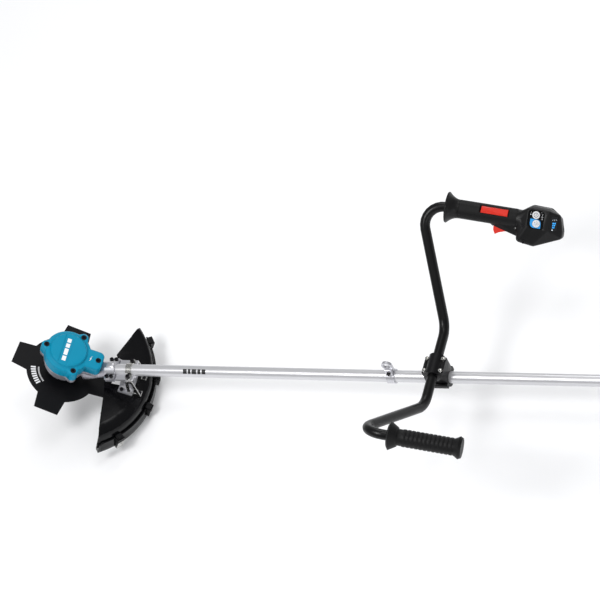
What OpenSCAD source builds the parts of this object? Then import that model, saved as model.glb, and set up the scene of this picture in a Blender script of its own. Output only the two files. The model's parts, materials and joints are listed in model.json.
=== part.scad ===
// Cordless brush cutter with a front motor head, a four tooth metal blade and a bull horn handlebar.
// World frame: X along the shaft towards the operator, Y to the operator's right, Z up.
// Parts are drawn with the shaft axis on X and the motor axis crossing it at zero,
// then moved so that the origin is the centre of the harness hanger's eye.

/* [Cutting head] */
// Angle between the shaft and the blade plane, in degrees
head_tilt = 31; // [28:1:34]
// Distance of the blade plane below the point where motor and shaft axes meet
blade_drop = 6; // [4:1:8]
// Turn of the blade about the motor axis, in degrees
blade_turn = -4; // [-45:1:45]
// Blade diameter over the tooth corners
blade_d = 230; // [220:1:236]
// Bore of the blade
blade_bore_d = 25.4; // [20:0.1:25.4]
// Sheet thickness of the blade
blade_t = 1.8; // [1.6:0.1:2.4]
// Radius of the blade disc between the teeth
blade_disc_r = 81; // [74:1:88]
// Outer radius of the motor cover
cover_r = 51; // [50:0.5:53]
// Radius of the raised round cap on the motor cover
cap_r = 41; // [36:0.5:43]

/* [Guard] */
// Outer radius of the guard's flat plate
guard_ridge_r = 193; // [188:1:198]
// Radius of the guard skirt's lower rim
guard_rim_r = 213; // [210:1:218]
// Wall thickness of the guard
guard_t = 3; // [2.5:0.1:4]

/* [Shaft] */
// Outer diameter of the shaft tube
pipe_d = 26; // [26:0.1:26.4]
// Wall thickness of the shaft tube
pipe_t = 1.8; // [1.2:0.1:2.4]
// Rear end of the shaft tube
pipe_end_x = 1470; // [1400:1:1480]
// Position of the harness hanger
hanger_x = 790; // [700:1:820]

/* [Handlebar] */
// Position of the handlebar clamp along the shaft
handle_x = 900; // [880:1:940]
// Height of the handlebar tube over the shaft axis
handle_z = 38; // [38:0.5:42]
// Outer diameter of the handlebar tube
bar_d = 22; // [20:0.5:22]
// Half of the distance between the grips
grip_y = 290; // [270:1:310]
// Downward slope of the grips towards the operator, in degrees
grip_pitch = 15; // [10:1:20]
// Outward roll of the control grip, in degrees
grip_roll = 50; // [40:1:60]
// Radius of the grips
grip_r = 20; // [19:0.5:20.5]

/* [Power unit] */
// Half width of the rear housing
rear_half_w = 46; // [44:1:52]
// Height of the floor line under the shaft axis
floor_drop = 125; // [123:0.5:127]

/* [Hidden] */
$fn = 64;
eps = 0.01;
gap = 0.3;
press = 0.02;
pipe_r = pipe_d / 2;
bar_r = bar_d / 2;
hull_fn = 24;

// Heights in the head frame, over the blade plane
housing_h0 = 24;
cover_h0 = 62;
cover_h1 = 88;
cap_h = 95;
plate_h = 38;
// top of the raised band that runs round the guard
band_h = plate_h + 3.5;
stay_bolt_u = 177;
stay_bolt_v = 20.5;

// Motor cover outline
ear_place_r = 50;
ear_r = 11;
ear_angles = [180, 62, -62];
lobe_u = 80;
lobe_half_w = 23;
lobe_corner_r = 12;
lobe_screw_u = 69;
motor_r = 41;
screw_r = 2;
screw_head_r = 3.8;
recess_r = 5.2;

// Spindle and fittings
spindle_r = 6;
bearing_r = 14;
washer_r = 24;

// Neck and brackets along the shaft
neck_x0 = 70;
pipe_x0 = 100;
clamp_x0 = 111;
clamp_x1 = 134;
bracket_x0 = 136;
bracket_x1 = 178;
saddle_x0 = 160;
saddle_x1 = 174;
ear_bolt_y = 20.5;
eye_rise = 27;
eye_r = 8;

// Grip frame
grip_root = [940, grip_y, 210];
bulb_x0 = 131;
bulb_round = 9;
display_turn = 35.2;
lever_turn = 60;

// Rear housing
rear_x0 = 1452;
rear_x1 = 1588;
rear_top = 62;
foot_h = 14;
batt_x0 = rear_x1 + 10.4;
batt_len_x = 66;
batt_half_w = 39;
batt_z0 = -floor_drop + 34;
batt_h = 132;

// ---------- helpers ----------

// Move children so that the origin is the centre of the hanger's eye.
module at_hook() {
  translate([-hanger_x, 0, -(pipe_r + eye_rise)]) children();
}

// Place children in the head frame: Z is the motor axis, X points rearward in the blade plane.
module in_head() {
  rotate([0, head_tilt, 0]) translate([0, 0, -blade_drop]) children();
}

// Place children in the control grip frame: X along the grip, Z away from the trigger.
module in_grip() {
  translate(grip_root) rotate([0, grip_pitch, 0]) rotate([-grip_roll, 0, 0]) children();
}

// Place children in the left grip frame: X along the grip.
module in_left_grip() {
  translate([grip_root[0], -grip_root[1], grip_root[2]]) rotate([0, grip_pitch, 0]) children();
}

// A ring of rectangular section about Z.
module ring(ro, ri, h) {
  difference() {
    cylinder(r = ro, h = h);
    translate([0, 0, -1]) cylinder(r = ri, h = h + 2);
  }
}

// A cylinder along X.
module rod_x(r, x0, x1) {
  translate([x0, 0, 0]) rotate([0, 90, 0]) cylinder(r = r, h = x1 - x0);
}

// A cylinder along Y.
module rod_y(r, y0, y1) {
  translate([0, y0, 0]) rotate([-90, 0, 0]) cylinder(r = r, h = y1 - y0);
}

// A cone along X.
module cone_x(ra, rb, x0, x1) {
  translate([x0, 0, 0]) rotate([0, 90, 0]) cylinder(r1 = ra, r2 = rb, h = x1 - x0);
}

// A box given by two opposite corners.
module box(a, b) {
  translate(a) cube(b - a);
}

// A drum with a coned upper edge.
module drum(r, h, c) {
  rotate_extrude() polygon([[0, 0], [r, 0], [r, h - c], [r - c, h], [0, h]]);
}

function unit(v) = v / norm(v);

// Corner points of a rounded polygon, with n steps to each corner.
function round_corner(a, b, c, r, n) =
  let (
    u = unit(a - b), w = unit(c - b), half = acos(u * w) / 2, m = unit(u + w),
    o = b + m * r / sin(half), s = sign(cross([u[0], u[1], 0], [w[0], w[1], 0])[2]),
    start = atan2(-m[1], -m[0])
  )
  [for (i = [0:n]) o + r * [cos(start + s * (90 - half) * (1 - 2 * i / n)),
    sin(start + s * (90 - half) * (1 - 2 * i / n))]];

function rounded(p, r, n = 4) =
  [for (i = [0:len(p) - 1]) for (q = round_corner(p[(i + len(p) - 1) % len(p)], p[i],
    p[(i + 1) % len(p)], r, n)) q];

// A convex polygon with every side moved outwards by d.
function grown(p, d) =
  [for (i = [0:len(p) - 1]) let (b = p[i], u = unit(p[(i + len(p) - 1) % len(p)] - b),
    w = unit(p[(i + 1) % len(p)] - b)) b - unit(u + w) * d / sin(acos(u * w) / 2)];

// A rounded polygon in the XZ plane, extruded along Y.
module side_plate(p, r, y0, y1) {
  translate([0, y1, 0]) rotate([90, 0, 0]) linear_extrude(y1 - y0) polygon(rounded(p, r));
}

// A hexagon socket screw, head up, with its underside of head at z = 0.
module socket_screw(rs, rh, hh, len) {
  difference() {
    cylinder(r = rh, h = hh);
    translate([0, 0, hh * 0.4]) cylinder(r = rh * 0.55, h = hh, $fn = 6);
  }
  translate([0, 0, -len]) cylinder(r = rs, h = len + eps);
}

// ---------- cutter ----------

module tooth() {
  tip_half = 13.8;
  root_half = 23;
  r_tip = blade_d / 2;
  r_root = blade_disc_r + 1;
  polygon([
    [r_root * cos(root_half) - 6, -r_root * sin(root_half)],
    [r_root * cos(root_half), -r_root * sin(root_half)],
    [r_tip * cos(tip_half), -r_tip * sin(tip_half)],
    [r_tip * cos(tip_half), r_tip * sin(tip_half)],
    [r_root * cos(root_half), r_root * sin(root_half)],
    [r_root * cos(root_half) - 6, r_root * sin(root_half)]
  ]);
}

module blade() {
  color([0.06, 0.06, 0.07]) at_hook() in_head() rotate([0, 0, blade_turn])
    difference() {
      translate([0, 0, -blade_t / 2]) linear_extrude(blade_t) difference() {
        union() {
          circle(r = blade_disc_r);
          for (a = [0:90:270]) rotate(a) tooth();
        }
        circle(r = blade_bore_d / 2);
      }
      for (a = [0:90:270]) rotate([0, 0, a]) tooth_grind();
    }
}

// Wedge that grinds a bevel on the leading flank of a tooth.
module tooth_grind() {
  flank = atan2(115 * sin(13.8) - 82 * sin(23), 115 * cos(13.8) - 82 * cos(23));
  for (m = [0, 1]) mirror([0, m, 0])
    translate([blade_d / 2 * cos(13.8), blade_d / 2 * sin(13.8), blade_t / 2])
      rotate([0, 0, flank]) rotate([-24, 0, 0]) translate([-26, -3.2, 0]) cube([30, 8, 4]);
}

module receiver_washer() {
  color([0.7, 0.7, 0.72]) at_hook() in_head() difference() {
    union() {
      translate([0, 0, blade_t / 2]) cylinder(r = washer_r, h = 3);
      translate([0, 0, blade_t / 2 + 3 - eps]) cylinder(r1 = washer_r, r2 = 14, h = 4);
      translate([0, 0, blade_t / 2 + 7 - 2 * eps]) cylinder(r = 14, h = 8);
      translate([0, 0, -blade_t / 2 + 0.1]) cylinder(r = blade_bore_d / 2 - 0.05, h = blade_t);
    }
    translate([0, 0, -5]) cylinder(r = spindle_r + press, h = 30);
  }
}

module clamp_washer() {
  color([0.68, 0.68, 0.7]) at_hook() in_head() difference() {
    translate([0, 0, -blade_t / 2 - 4]) union() {
      cylinder(r1 = washer_r - 3, r2 = washer_r, h = 2);
      translate([0, 0, 2 - eps]) cylinder(r = washer_r, h = 2 + eps);
    }
    translate([0, 0, -20]) cylinder(r = spindle_r + 0.1, h = 30);
  }
}

module cup() {
  h0 = -blade_t / 2 - 18;
  color([0.35, 0.35, 0.37]) at_hook() in_head() difference() {
    union() {
      translate([0, 0, h0]) cylinder(r1 = 22, r2 = 27, h = 8);
      translate([0, 0, h0 + 8 - eps]) cylinder(r = 27, h = 6);
    }
    translate([0, 0, h0 + 3]) cylinder(r1 = 18, r2 = 25.5, h = 8);
    translate([0, 0, h0 + 11 - eps]) cylinder(r = 25.5, h = 5);
    translate([0, 0, h0 - 1]) cylinder(r = 15, h = 6);
  }
  // flat bottom of the cup, pierced for the spindle
  color([0.35, 0.35, 0.37]) at_hook() in_head() translate([0, 0, -blade_t / 2 - 6])
    ring(26, spindle_r + 0.1, 2 - press);
}

module blade_nut() {
  color([0.75, 0.73, 0.66]) at_hook() in_head() translate([0, 0, -blade_t / 2 - 16.5]) difference() {
    union() {
      cylinder(r = 10.5, h = 8.5, $fn = 6);
      translate([0, 0, 8.5 - eps]) cylinder(r = 12, h = 2);
    }
    translate([0, 0, -1]) cylinder(r = 5, h = 14);
  }
}

module spindle() {
  color([0.72, 0.72, 0.74]) at_hook() in_head() {
    translate([0, 0, -14]) cylinder(r = 5 - 0.05, h = 8);
    translate([0, 0, -6 - eps]) cylinder(r = spindle_r, h = 88 + 6);
    translate([0, 0, 17]) ring(9, spindle_r - eps, 5);
  }
}

module rotor() {
  color([0.5, 0.45, 0.4]) at_hook() in_head() {
    translate([0, 0, 38]) ring(24.4, spindle_r + press, 30);
    for (a = [0:60:300]) rotate([0, 0, a]) translate([14, -1.2, 68 - eps]) cube([9, 2.4, 5]);
    translate([0, 0, 68 - eps]) ring(11, spindle_r + press, 5);
  }
}

// ---------- motor head ----------

// Round wall with three ears and a rear lobe; the bolting faces stand a hair proud of the wall.
module cover_outline_solid(h0, h1, c) {
  translate([0, 0, h0 + 0.1]) drum(cover_r, h1 - h0 - 0.1, c);
  for (a = ear_angles) rotate([0, 0, a]) hull() {
    translate([ear_place_r, 0, h0]) drum(ear_r, h1 - h0, c, $fn = hull_fn);
    translate([27, 0, h0]) drum(23, h1 - h0, c, $fn = hull_fn);
  }
  hull() for (u = [30, lobe_u - lobe_corner_r], s = [-1, 1])
    translate([u, s * (lobe_half_w - lobe_corner_r), h0 + 0.1])
      drum(lobe_corner_r, h1 - h0 - 0.1, c, $fn = hull_fn);
}

// The same outline in the plane, for the bolting flange of the casting.
module flange_outline(shrink) {
  circle(r = cover_r - shrink);
  for (a = ear_angles) rotate(a) {
    translate([ear_place_r, 0]) circle(r = ear_r - shrink);
    polygon([[39, 19.6 - shrink], [55.7, 9.4 - shrink], [55.7, shrink - 9.4], [39, shrink - 19.6]]);
  }
  for (v = [-1, 1]) translate([lobe_u - lobe_corner_r, v * (lobe_half_w - lobe_corner_r)])
    circle(r = lobe_corner_r - shrink);
  translate([20, -lobe_half_w + shrink])
    square([lobe_u - lobe_corner_r - 20, 2 * (lobe_half_w - shrink)]);
  translate([20, -lobe_half_w + lobe_corner_r])
    square([lobe_u - shrink - 20, 2 * (lobe_half_w - lobe_corner_r)]);
}

// Places of the four cover screws in the head frame.
function screw_place(i) =
  i < 3 ? [ear_place_r * cos(ear_angles[i]), ear_place_r * sin(ear_angles[i]), 0]
  : [lobe_screw_u, 0, 0];

module motor_cover() {
  color([0.03, 0.58, 0.68]) at_hook() in_head() difference() {
    union() {
      cover_outline_solid(cover_h0, cover_h1, 3);
      translate([0, 0, cover_h1 - 1]) drum(cap_r, cap_h - cover_h1 + 1, 3);
    }
    // label band, a shallow channel across the cap
    box([-15, -cap_r, cap_h - 1.2], [6, cap_r, cap_h + 1]);
    for (i = [0:3]) translate(screw_place(i)) {
      translate([0, 0, cover_h1 - 7]) cylinder(r = recess_r, h = 12);
      translate([0, 0, cover_h0 - 1]) cylinder(r = screw_r + 0.2, h = 40);
    }
    // motor space and bearing seat
    translate([0, 0, cover_h0 - 1]) cylinder(r = motor_r, h = 17);
    translate([0, 0, cover_h0 - 1]) cylinder(r = bearing_r + press, h = 27);
  }
}

module cover_screws() {
  color([0.05, 0.05, 0.05]) at_hook() in_head()
    for (i = [0:3]) translate(screw_place(i)) translate([0, 0, cover_h1 - 7 + press])
      socket_screw(screw_r, screw_head_r, 4.5, 28);
}

module motor_housing() {
  color([0.62, 0.62, 0.66]) at_hook() difference() {
    union() {
      in_head() {
        translate([0, 0, housing_h0]) cylinder(r1 = 37, r2 = cover_r - 5, h = 12);
        translate([0, 0, housing_h0 + 12 - eps]) cylinder(r = cover_r - 5, h = 18);
        // bolting flange with the outline of the cover
        translate([0, 0, cover_h0 - 11]) linear_extrude(11 - press) flange_outline(1);
        // rear part of the casting under the lobe
        hull() {
          for (v = [-1, 1]) translate([lobe_u - 16, v * 9, 41]) cylinder(r = 11, h = 14, $fn = hull_fn);
          for (v = [-1, 1]) translate([34, v * 9, 33]) cylinder(r = 11, h = 14, $fn = hull_fn);
        }
        // bolt bosses under the three ears
        for (a = ear_angles) rotate([0, 0, a]) translate([ear_place_r - 3, 0, 42])
          cylinder(r = 7, h = 14);
      }
      // neck cone and socket for the shaft tube
      cone_x(23, 17.5, neck_x0 - 16, 100);
      rod_x(17.5, 100 - eps, clamp_x1);
      box([clamp_x0, -27, -7], [clamp_x1, 27, -gap / 2]);
    }
    in_head() {
      translate([0, 0, housing_h0 + 9]) cylinder(r = motor_r, h = 60);
      translate([0, 0, housing_h0 - 2]) cylinder(r = bearing_r + press, h = 20);
      for (i = [0:3]) translate(screw_place(i)) translate([0, 0, cover_h0 - 20])
        cylinder(r = screw_r + press, h = 40);
    }
    // the neck stays clear of the cover's lobe
    in_head() translate([0, 0, cover_h0 - press]) linear_extrude(40) flange_outline(-gap);
    rod_x(pipe_r + press, pipe_x0 - 2, 200);
    // the upper half of the socket is the separate clamp cap
    box([clamp_x0 - gap, -40, -gap / 2], [clamp_x1 + 1, 40, 40]);
    neck_bolt_places(-30) cylinder(r = 2.5 + press, h = 40);
  }
}

module neck_bolt_places(z) {
  for (x = [clamp_x0 + 6, clamp_x1 - 6], y = [-22.4, 22.4]) translate([x, y, z]) children();
}

module neck_clamp() {
  color([0.72, 0.72, 0.76]) at_hook() difference() {
    union() {
      intersection() {
        rod_x(18.5, clamp_x0, clamp_x1);
        box([clamp_x0, -30, gap / 2], [clamp_x1, 30, 30]);
      }
      box([clamp_x0, -27, gap / 2], [clamp_x1, 27, 5]);
      // pad across the top of the cap
      box([clamp_x0 + 5, -5, 15], [clamp_x1 - 5, 5, 20]);
    }
    rod_x(pipe_r + press, 90, 200);
    neck_bolt_places(-5) cylinder(r = 2.7, h = 30);
  }
}

module neck_bolts() {
  color([0.08, 0.08, 0.09]) at_hook() neck_bolt_places(5 + press) socket_screw(2.5, 4.3, 4.5, 16);
}

module motor_stator() {
  color([0.6, 0.42, 0.28]) at_hook() in_head() difference() {
    translate([0, 0, 36]) ring(motor_r - press, 33, 36);
    translate([0, 0, 35]) cylinder(r = 20, h = 2);
  }
  color([0.6, 0.42, 0.28]) at_hook() in_head() for (a = [0:30:330]) rotate([0, 0, a])
    translate([25.2, -4, 38]) cube([9, 8, 32]);
}

module upper_bearing() {
  color([0.75, 0.75, 0.77]) at_hook() in_head() translate([0, 0, 79]) ring(bearing_r, spindle_r + 0.03, 8);
}

module lower_bearing() {
  color([0.75, 0.75, 0.77]) at_hook() in_head() translate([0, 0, housing_h0 - 1])
    ring(bearing_r, spindle_r + 0.03, 7);
}

module dust_ring() {
  color([0.55, 0.56, 0.6]) at_hook() in_head() difference() {
    union() {
      translate([0, 0, 17]) cylinder(r = 37, h = 2.5);
      translate([0, 0, 19.5 - eps]) cylinder(r = 31, h = housing_h0 - 19.5 - press);
    }
    translate([0, 0, 10]) cylinder(r = 27.5, h = 20);
  }
}

// ---------- guard ----------

// Front line of the guard in the head frame.
module guard_front_limit() {
  translate([0, 0, -40]) linear_extrude(120) polygon([
    [96, -18], [103, -50], [116, -136], [126, -176], [150, -230], [260, -230], [260, 90],
    // rounded far corner
    [172, 132], [166, 139], [159, 145], [151, 148.5], [143, 148.5], [136, 144],
    [129, 133], [104, 58], [108, 51], [130, 50], [130, -14]
  ]);
}

module guard_body(lip) {
  rotate([0, 0, -62]) rotate_extrude(angle = 120) polygon([
    [92, plate_h], [92, plate_h - guard_t], [168, plate_h - guard_t], [171, plate_h - guard_t + 3],
    [guard_ridge_r - 6, plate_h - guard_t + 3], [guard_ridge_r, plate_h - guard_t - 1],
    [guard_rim_r - 9, 4], [guard_rim_r - 6, 4], [guard_rim_r - 9 + lip, 16],
    [guard_ridge_r + 3, plate_h - 1], [guard_ridge_r - 4, band_h], [169, band_h],
    [166, plate_h]
  ]);
}

module guard() {
  color([0.07, 0.07, 0.08]) at_hook() in_head() difference() {
    intersection() {
      guard_body(0);
      guard_front_limit();
    }
    guard_foot_holes();
  }
  // ribs under the flat plate
  color([0.07, 0.07, 0.08]) at_hook() in_head() intersection() {
    for (a = [-40, -22, 22, 36]) rotate([0, 0, a])
      box([120, -1.2, plate_h - guard_t - 6], [guard_ridge_r - 2, 1.2, plate_h - guard_t + eps]);
    guard_front_limit();
  }
}

module guard_foot_holes() {
  for (v = [-26, 26]) translate([137, v, plate_h - 10]) cylinder(r = 2.6, h = 20);
  for (s = [-1, 1]) translate([stay_bolt_u, s * stay_bolt_v, plate_h - 10]) cylinder(r = 2.6, h = 20);
}

module skirt_sector(a0, a1, p) {
  rotate([0, 0, a0]) rotate_extrude(angle = a1 - a0) polygon(p);
}

module guard_skirt() {
  r = guard_rim_r;
  color([0.09, 0.09, 0.1]) at_hook() in_head() {
    skirt_sector(-50, 41, [
      [r - 5.4, 20], [r - 8.4, 20], [r - 3, -6], [r - 5, -12], [r - 2, -12], [r, -7], [r - 2, 2]
    ]);
    // thicker end at the long side, turned in under the rim
    skirt_sector(-52, -49, [
      [r - 4.6, 17], [r - 7.8, 17], [r - 5, 3.6], [r - 12, 3.6], [r - 12, -11], [r - 1.5, -11], [r - 2.6, 2]
    ]);
  }
}

module guard_clips() {
  r = guard_rim_r;
  color([0.05, 0.05, 0.06]) at_hook() in_head() for (a = [-38, -9, 13, 38]) rotate([0, 0, a]) {
    difference() {
      box([r - 5.2, -9, -5], [r + 4.5, 9, 20]);
      translate([r + 1.5, -5, -6]) cube([8, 10, 18]);
      rotate([0, 0, -6]) rotate_extrude(angle = 12, $fn = 240)
        polygon([[r - 10, 21], [r - 5.1, 21], [r + 0.3, -7], [r - 10, -7]]);
    }
    // hooked top that reaches over the wall of the guard
    box([r - 10, -7, 20.3], [r + 1, 7, 24]);
    box([r - 1, -7, 18], [r + 1, 7, 24]);
  }
}

module line_cutter() {
  color([0.8, 0.8, 0.8]) at_hook() in_head() rotate([0, 0, -38]) difference() {
    union() {
      box([guard_rim_r + 4.6, -8, -13.6], [guard_rim_r + 6.2, 8, 12]);
      box([guard_rim_r - 24, -8, -13.6], [guard_rim_r + 6.2, 8, -12.2]);
    }
    translate([guard_rim_r, 0, 6]) rotate([0, 90, 0]) cylinder(r = 1.8, h = 12);
  }
}

// World place of a head frame point.
function head_x(u, h) = u * cos(head_tilt) + (h - blade_drop) * sin(head_tilt);
function head_z(u, h) = -u * sin(head_tilt) + (h - blade_drop) * cos(head_tilt);

module guard_bracket() {
  color([0.74, 0.74, 0.78]) at_hook() difference() {
    union() {
      // flange and half shell under the shaft
      box([bracket_x0, -26, -5], [bracket_x1, 26, -gap / 2]);
      intersection() {
        rod_x(17.5, bracket_x0, bracket_x1);
        box([bracket_x0, -20, -30], [bracket_x1, 20, -gap / 2]);
      }
      // web down to the guard
      hull() {
        box([bracket_x0 + 4, -13, -16], [bracket_x1 - 6, 13, -14]);
        in_head() box([134, -13, plate_h + 2], [163, 13, plate_h + 3]);
      }
      in_head() box([130, -32, plate_h + press], [163.5, 32, plate_h + 4]);
    }
    rod_x(pipe_r + press, 90, 200);
    for (y = [-ear_bolt_y, ear_bolt_y]) translate([(saddle_x0 + saddle_x1) / 2, y, -20])
      cylinder(r = 2.5 + press, h = 30);
    in_head() for (v = [-26, 26]) translate([137, v, plate_h - 10]) cylinder(r = 2.5 + press, h = 20);
  }
}

module guard_saddle() {
  color([0.8, 0.8, 0.82]) at_hook() difference() {
    union() {
      intersection() {
        rod_x(pipe_r + 2.2, saddle_x0, saddle_x1);
        box([saddle_x0, -20, gap / 2], [saddle_x1, 20, 20]);
      }
      for (s = [-1, 1]) hull() {
        translate([(saddle_x0 + saddle_x1) / 2, s * ear_bolt_y, gap / 2])
          cylinder(r = 7, h = 2.6, $fn = hull_fn);
        translate([(saddle_x0 + saddle_x1) / 2, s * (pipe_r + 1), gap / 2])
          cylinder(r = 7, h = 2.6, $fn = hull_fn);
      }
    }
    rod_x(pipe_r + press, 90, 200);
    for (y = [-ear_bolt_y, ear_bolt_y]) translate([(saddle_x0 + saddle_x1) / 2, y, -10])
      cylinder(r = 2.7, h = 30);
  }
}

module guard_bolts() {
  color([0.1, 0.1, 0.11]) at_hook() {
    for (y = [-ear_bolt_y, ear_bolt_y])
      translate([(saddle_x0 + saddle_x1) / 2, y, gap / 2 + 2.6 + press])
        socket_screw(2.5, 4.4, 5, 14);
    in_head() for (v = [-26, 26]) translate([137, v, plate_h + 4 + 2 * press])
      socket_screw(2.5, 4.4, 4, 12);
    in_head() for (s = [-1, 1]) translate([stay_bolt_u, s * stay_bolt_v, band_h + 2 + 2 * press])
      socket_screw(2.5, 4.4, 4, 12);
  }
}

// Pressed triangular stays at both sides between the saddle ears and the guard.
module guard_stay() {
  foot_h = band_h + 1.5;
  color([0.78, 0.78, 0.8]) at_hook() for (s = [-1, 1]) {
    difference() {
      side_plate([
        [saddle_x0 - 1, -5.5], [saddle_x1 + 2, -5.5], [head_x(183, foot_h), head_z(183, foot_h)],
        [head_x(152, foot_h), head_z(152, foot_h)]
      ], 2, s * 28 - 1, s * 28 + 1);
      side_plate([
        [saddle_x0 + 4.5, -11], [saddle_x1 - 3, -11],
        [head_x(178, foot_h) - 2, head_z(178, foot_h) + 7],
        [head_x(158, foot_h) + 2, head_z(158, foot_h) + 5]
      ], 1.5, s * 28 - 3, s * 28 + 3);
    }
    // foot folded onto the raised band of the guard
    in_head() difference() {
      box([stay_bolt_u - 6, s > 0 ? 14.5 : -29, band_h + press],
        [stay_bolt_u + 6, s > 0 ? 29 : -14.5, band_h + 2]);
      translate([stay_bolt_u, s * stay_bolt_v, band_h - 5]) cylinder(r = 2.5 + press, h = 20);
    }
    // lug folded under the bracket's flange
    difference() {
      box([saddle_x0, s > 0 ? 17 : -29, -7.2], [saddle_x1, s > 0 ? 29 : -17, -5 - press]);
      translate([(saddle_x0 + saddle_x1) / 2, s * ear_bolt_y, -20]) cylinder(r = 2.5 + press, h = 30);
    }
  }
}

// ---------- shaft ----------

module main_pipe() {
  color([0.84, 0.84, 0.86]) at_hook() difference() {
    rod_x(pipe_r, pipe_x0, pipe_end_x);
    rod_x(pipe_r - pipe_t, pipe_x0 - 20, pipe_end_x + 20);
  }
}

module hanger() {
  color([0.75, 0.75, 0.77]) at_hook() difference() {
    union() {
      rod_x(pipe_r + 3, hanger_x - 9, hanger_x + 9);
      for (s = [-1, 1]) box([hanger_x - 8, s > 0 ? 1.2 : -8, pipe_r - 4],
        [hanger_x + 8, s > 0 ? 8 : -1.2, pipe_r + 15]);
      translate([hanger_x, 0, pipe_r + eye_rise]) rod_y(eye_r + 4, -3, 3);
      box([hanger_x - 8, -3, pipe_r + 12], [hanger_x + 8, 3, pipe_r + 24]);
    }
    translate([hanger_x, 0, pipe_r + eye_rise]) rod_y(eye_r, -5, 5);
    rod_x(pipe_r + 0.04, hanger_x - 20, hanger_x + 20);
    box([hanger_x - 10, -1.2, pipe_r - 6], [hanger_x + 10, 1.2, pipe_r + 11]);
    translate([hanger_x, 0, pipe_r + 8]) rod_y(2.5 + press, -12, 12);
  }
}

module hanger_bolt() {
  color([0.1, 0.1, 0.11]) at_hook() translate([hanger_x, -8 - press, pipe_r + 8])
    rotate([90, 0, 0]) socket_screw(2.5, 4.4, 4, 17);
}

// ---------- handlebar ----------

module handle_base() {
  color([0.1, 0.1, 0.11]) at_hook() difference() {
    union() {
      rod_x(pipe_r + 7, handle_x - 24, handle_x + 24);
      box([handle_x - 24, -20, 0], [handle_x + 24, 20, handle_z - gap / 2]);
      translate([0, 0, handle_z]) intersection() {
        translate([handle_x, 0, 0]) rod_y(bar_r + 7, -25, 25);
        box([handle_x - 30, -25, -30], [handle_x + 30, 25, -gap / 2]);
      }
      box([handle_x - 24, -25, -6], [handle_x + 24, 25, 6]);
    }
    rod_x(pipe_r + press, handle_x - 40, handle_x + 40);
    translate([handle_x, 0, handle_z]) rod_y(bar_r + 0.04, -40, 40);
    box([handle_x - 40, -40, -gap / 2], [handle_x + 40, -pipe_r + 2, gap / 2]);
    box([handle_x - 40, pipe_r - 2, -gap / 2], [handle_x + 40, 40, gap / 2]);
    handle_bolt_places() translate([0, 0, -40]) cylinder(r = 2.5 + press, h = 60);
  }
}

module handle_bolt_places() {
  for (x = [-18.5, 18.5], y = [-15, 15]) translate([handle_x + x, y, handle_z]) children();
}

module handle_cap() {
  color([0.12, 0.12, 0.13]) at_hook() difference() {
    union() {
      intersection() {
        translate([handle_x, 0, handle_z]) rod_y(bar_r + 7, -25, 25);
        box([handle_x - 30, -25, handle_z + gap / 2], [handle_x + 30, 25, handle_z + 40]);
      }
      box([handle_x - 24, -20, handle_z + gap / 2], [handle_x + 24, 20, handle_z + 7]);
    }
    translate([handle_x, 0, handle_z]) rod_y(bar_r + 0.04, -40, 40);
    handle_bolt_places() translate([0, 0, -5]) cylinder(r = 2.7, h = 30);
    handle_bolt_places() translate([0, 0, 7]) cylinder(r = 4.8, h = 30);
  }
}

module handle_bolts() {
  color([0.7, 0.7, 0.72]) at_hook() handle_bolt_places() translate([0, 0, 7 + press])
    socket_screw(2.5, 4.4, 4.5, 34);
}

bar_c = [handle_x, 0, handle_z];
bar_knee_y = 100;
bar_bend_r = 55;
bar_turn_r = 40;
bar_wall = 1.6;
bend_n = 8;
bar_in_grip = 30;
grip_dir = [cos(grip_pitch), 0, -sin(grip_pitch)];
bar_tail = 85;

// Corner points of the bull horn tube, from its middle to the end inside a grip, on the side s.
function bar_knee(s) = [bar_c[0], s * bar_knee_y, bar_c[2]];
function bar_root(s) = [grip_root[0], s * grip_root[1], grip_root[2]];
function bar_turn(s) = bar_root(s) - grip_dir * bar_tail;
function bar_end(s) = bar_root(s) + grip_dir * bar_in_grip;

// Places and directions along a bend of radius rb at corner b.
function bend_steps(a, b, c, rb) =
  let (
    d1 = unit(b - a), d2 = unit(c - b), turn = acos(d1 * d2),
    n = unit(d2 - (d1 * d2) * d1), o = b - d1 * rb * tan(turn / 2) + n * rb
  )
  [for (i = [0:bend_n]) let (t = turn * i / bend_n)
    [o + rb * (d1 * sin(t) - n * cos(t)), d1 * cos(t) + n * sin(t)]];

// Centre line of one half of the bar, as places with directions.
function half_line(s) = concat(
  bend_steps(bar_c, bar_knee(s), bar_turn(s), bar_bend_r),
  bend_steps(bar_knee(s), bar_turn(s), bar_end(s), bar_turn_r),
  [[bar_end(s), grip_dir]]
);

// Centre line of the whole bar, from the left end to the right end.
function bar_line() = let (h = half_line(-1))
  concat([for (i = [len(h) - 1:-1:0]) [h[i][0], -h[i][1]]], half_line(1));

// A round section of radius r and k sides swept along a line of places with directions.
module sweep(line, r, k) {
  last = len(line) - 1;
  points = [for (q = line) let (n = unit(cross(q[1], [0, 0, 1])), m = cross(n, q[1]))
    for (j = [0:k - 1]) q[0] + r * (n * cos(360 * j / k) + m * sin(360 * j / k))];
  walls = [for (i = [0:last - 1], j = [0:k - 1])
    [i * k + j, i * k + (j + 1) % k, (i + 1) * k + (j + 1) % k, (i + 1) * k + j]];
  ends = [[for (j = [k - 1:-1:0]) j], [for (j = [0:k - 1]) last * k + j]];
  polyhedron(points, concat(walls, ends), convexity = 6);
}

// The end places pushed out along the line, so that the hollow is open at both ends.
function open_ended(line) = [for (i = [0:len(line) - 1])
  let (e = i == 0 ? -1 : i == len(line) - 1 ? 1 : 0) [line[i][0] + e * line[i][1], line[i][1]]];

module handlebar() {
  color([0.08, 0.08, 0.09]) at_hook() difference() {
    sweep(bar_line(), bar_r, 30);
    sweep(open_ended(bar_line()), bar_r - bar_wall, 16);
  }
}

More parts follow.
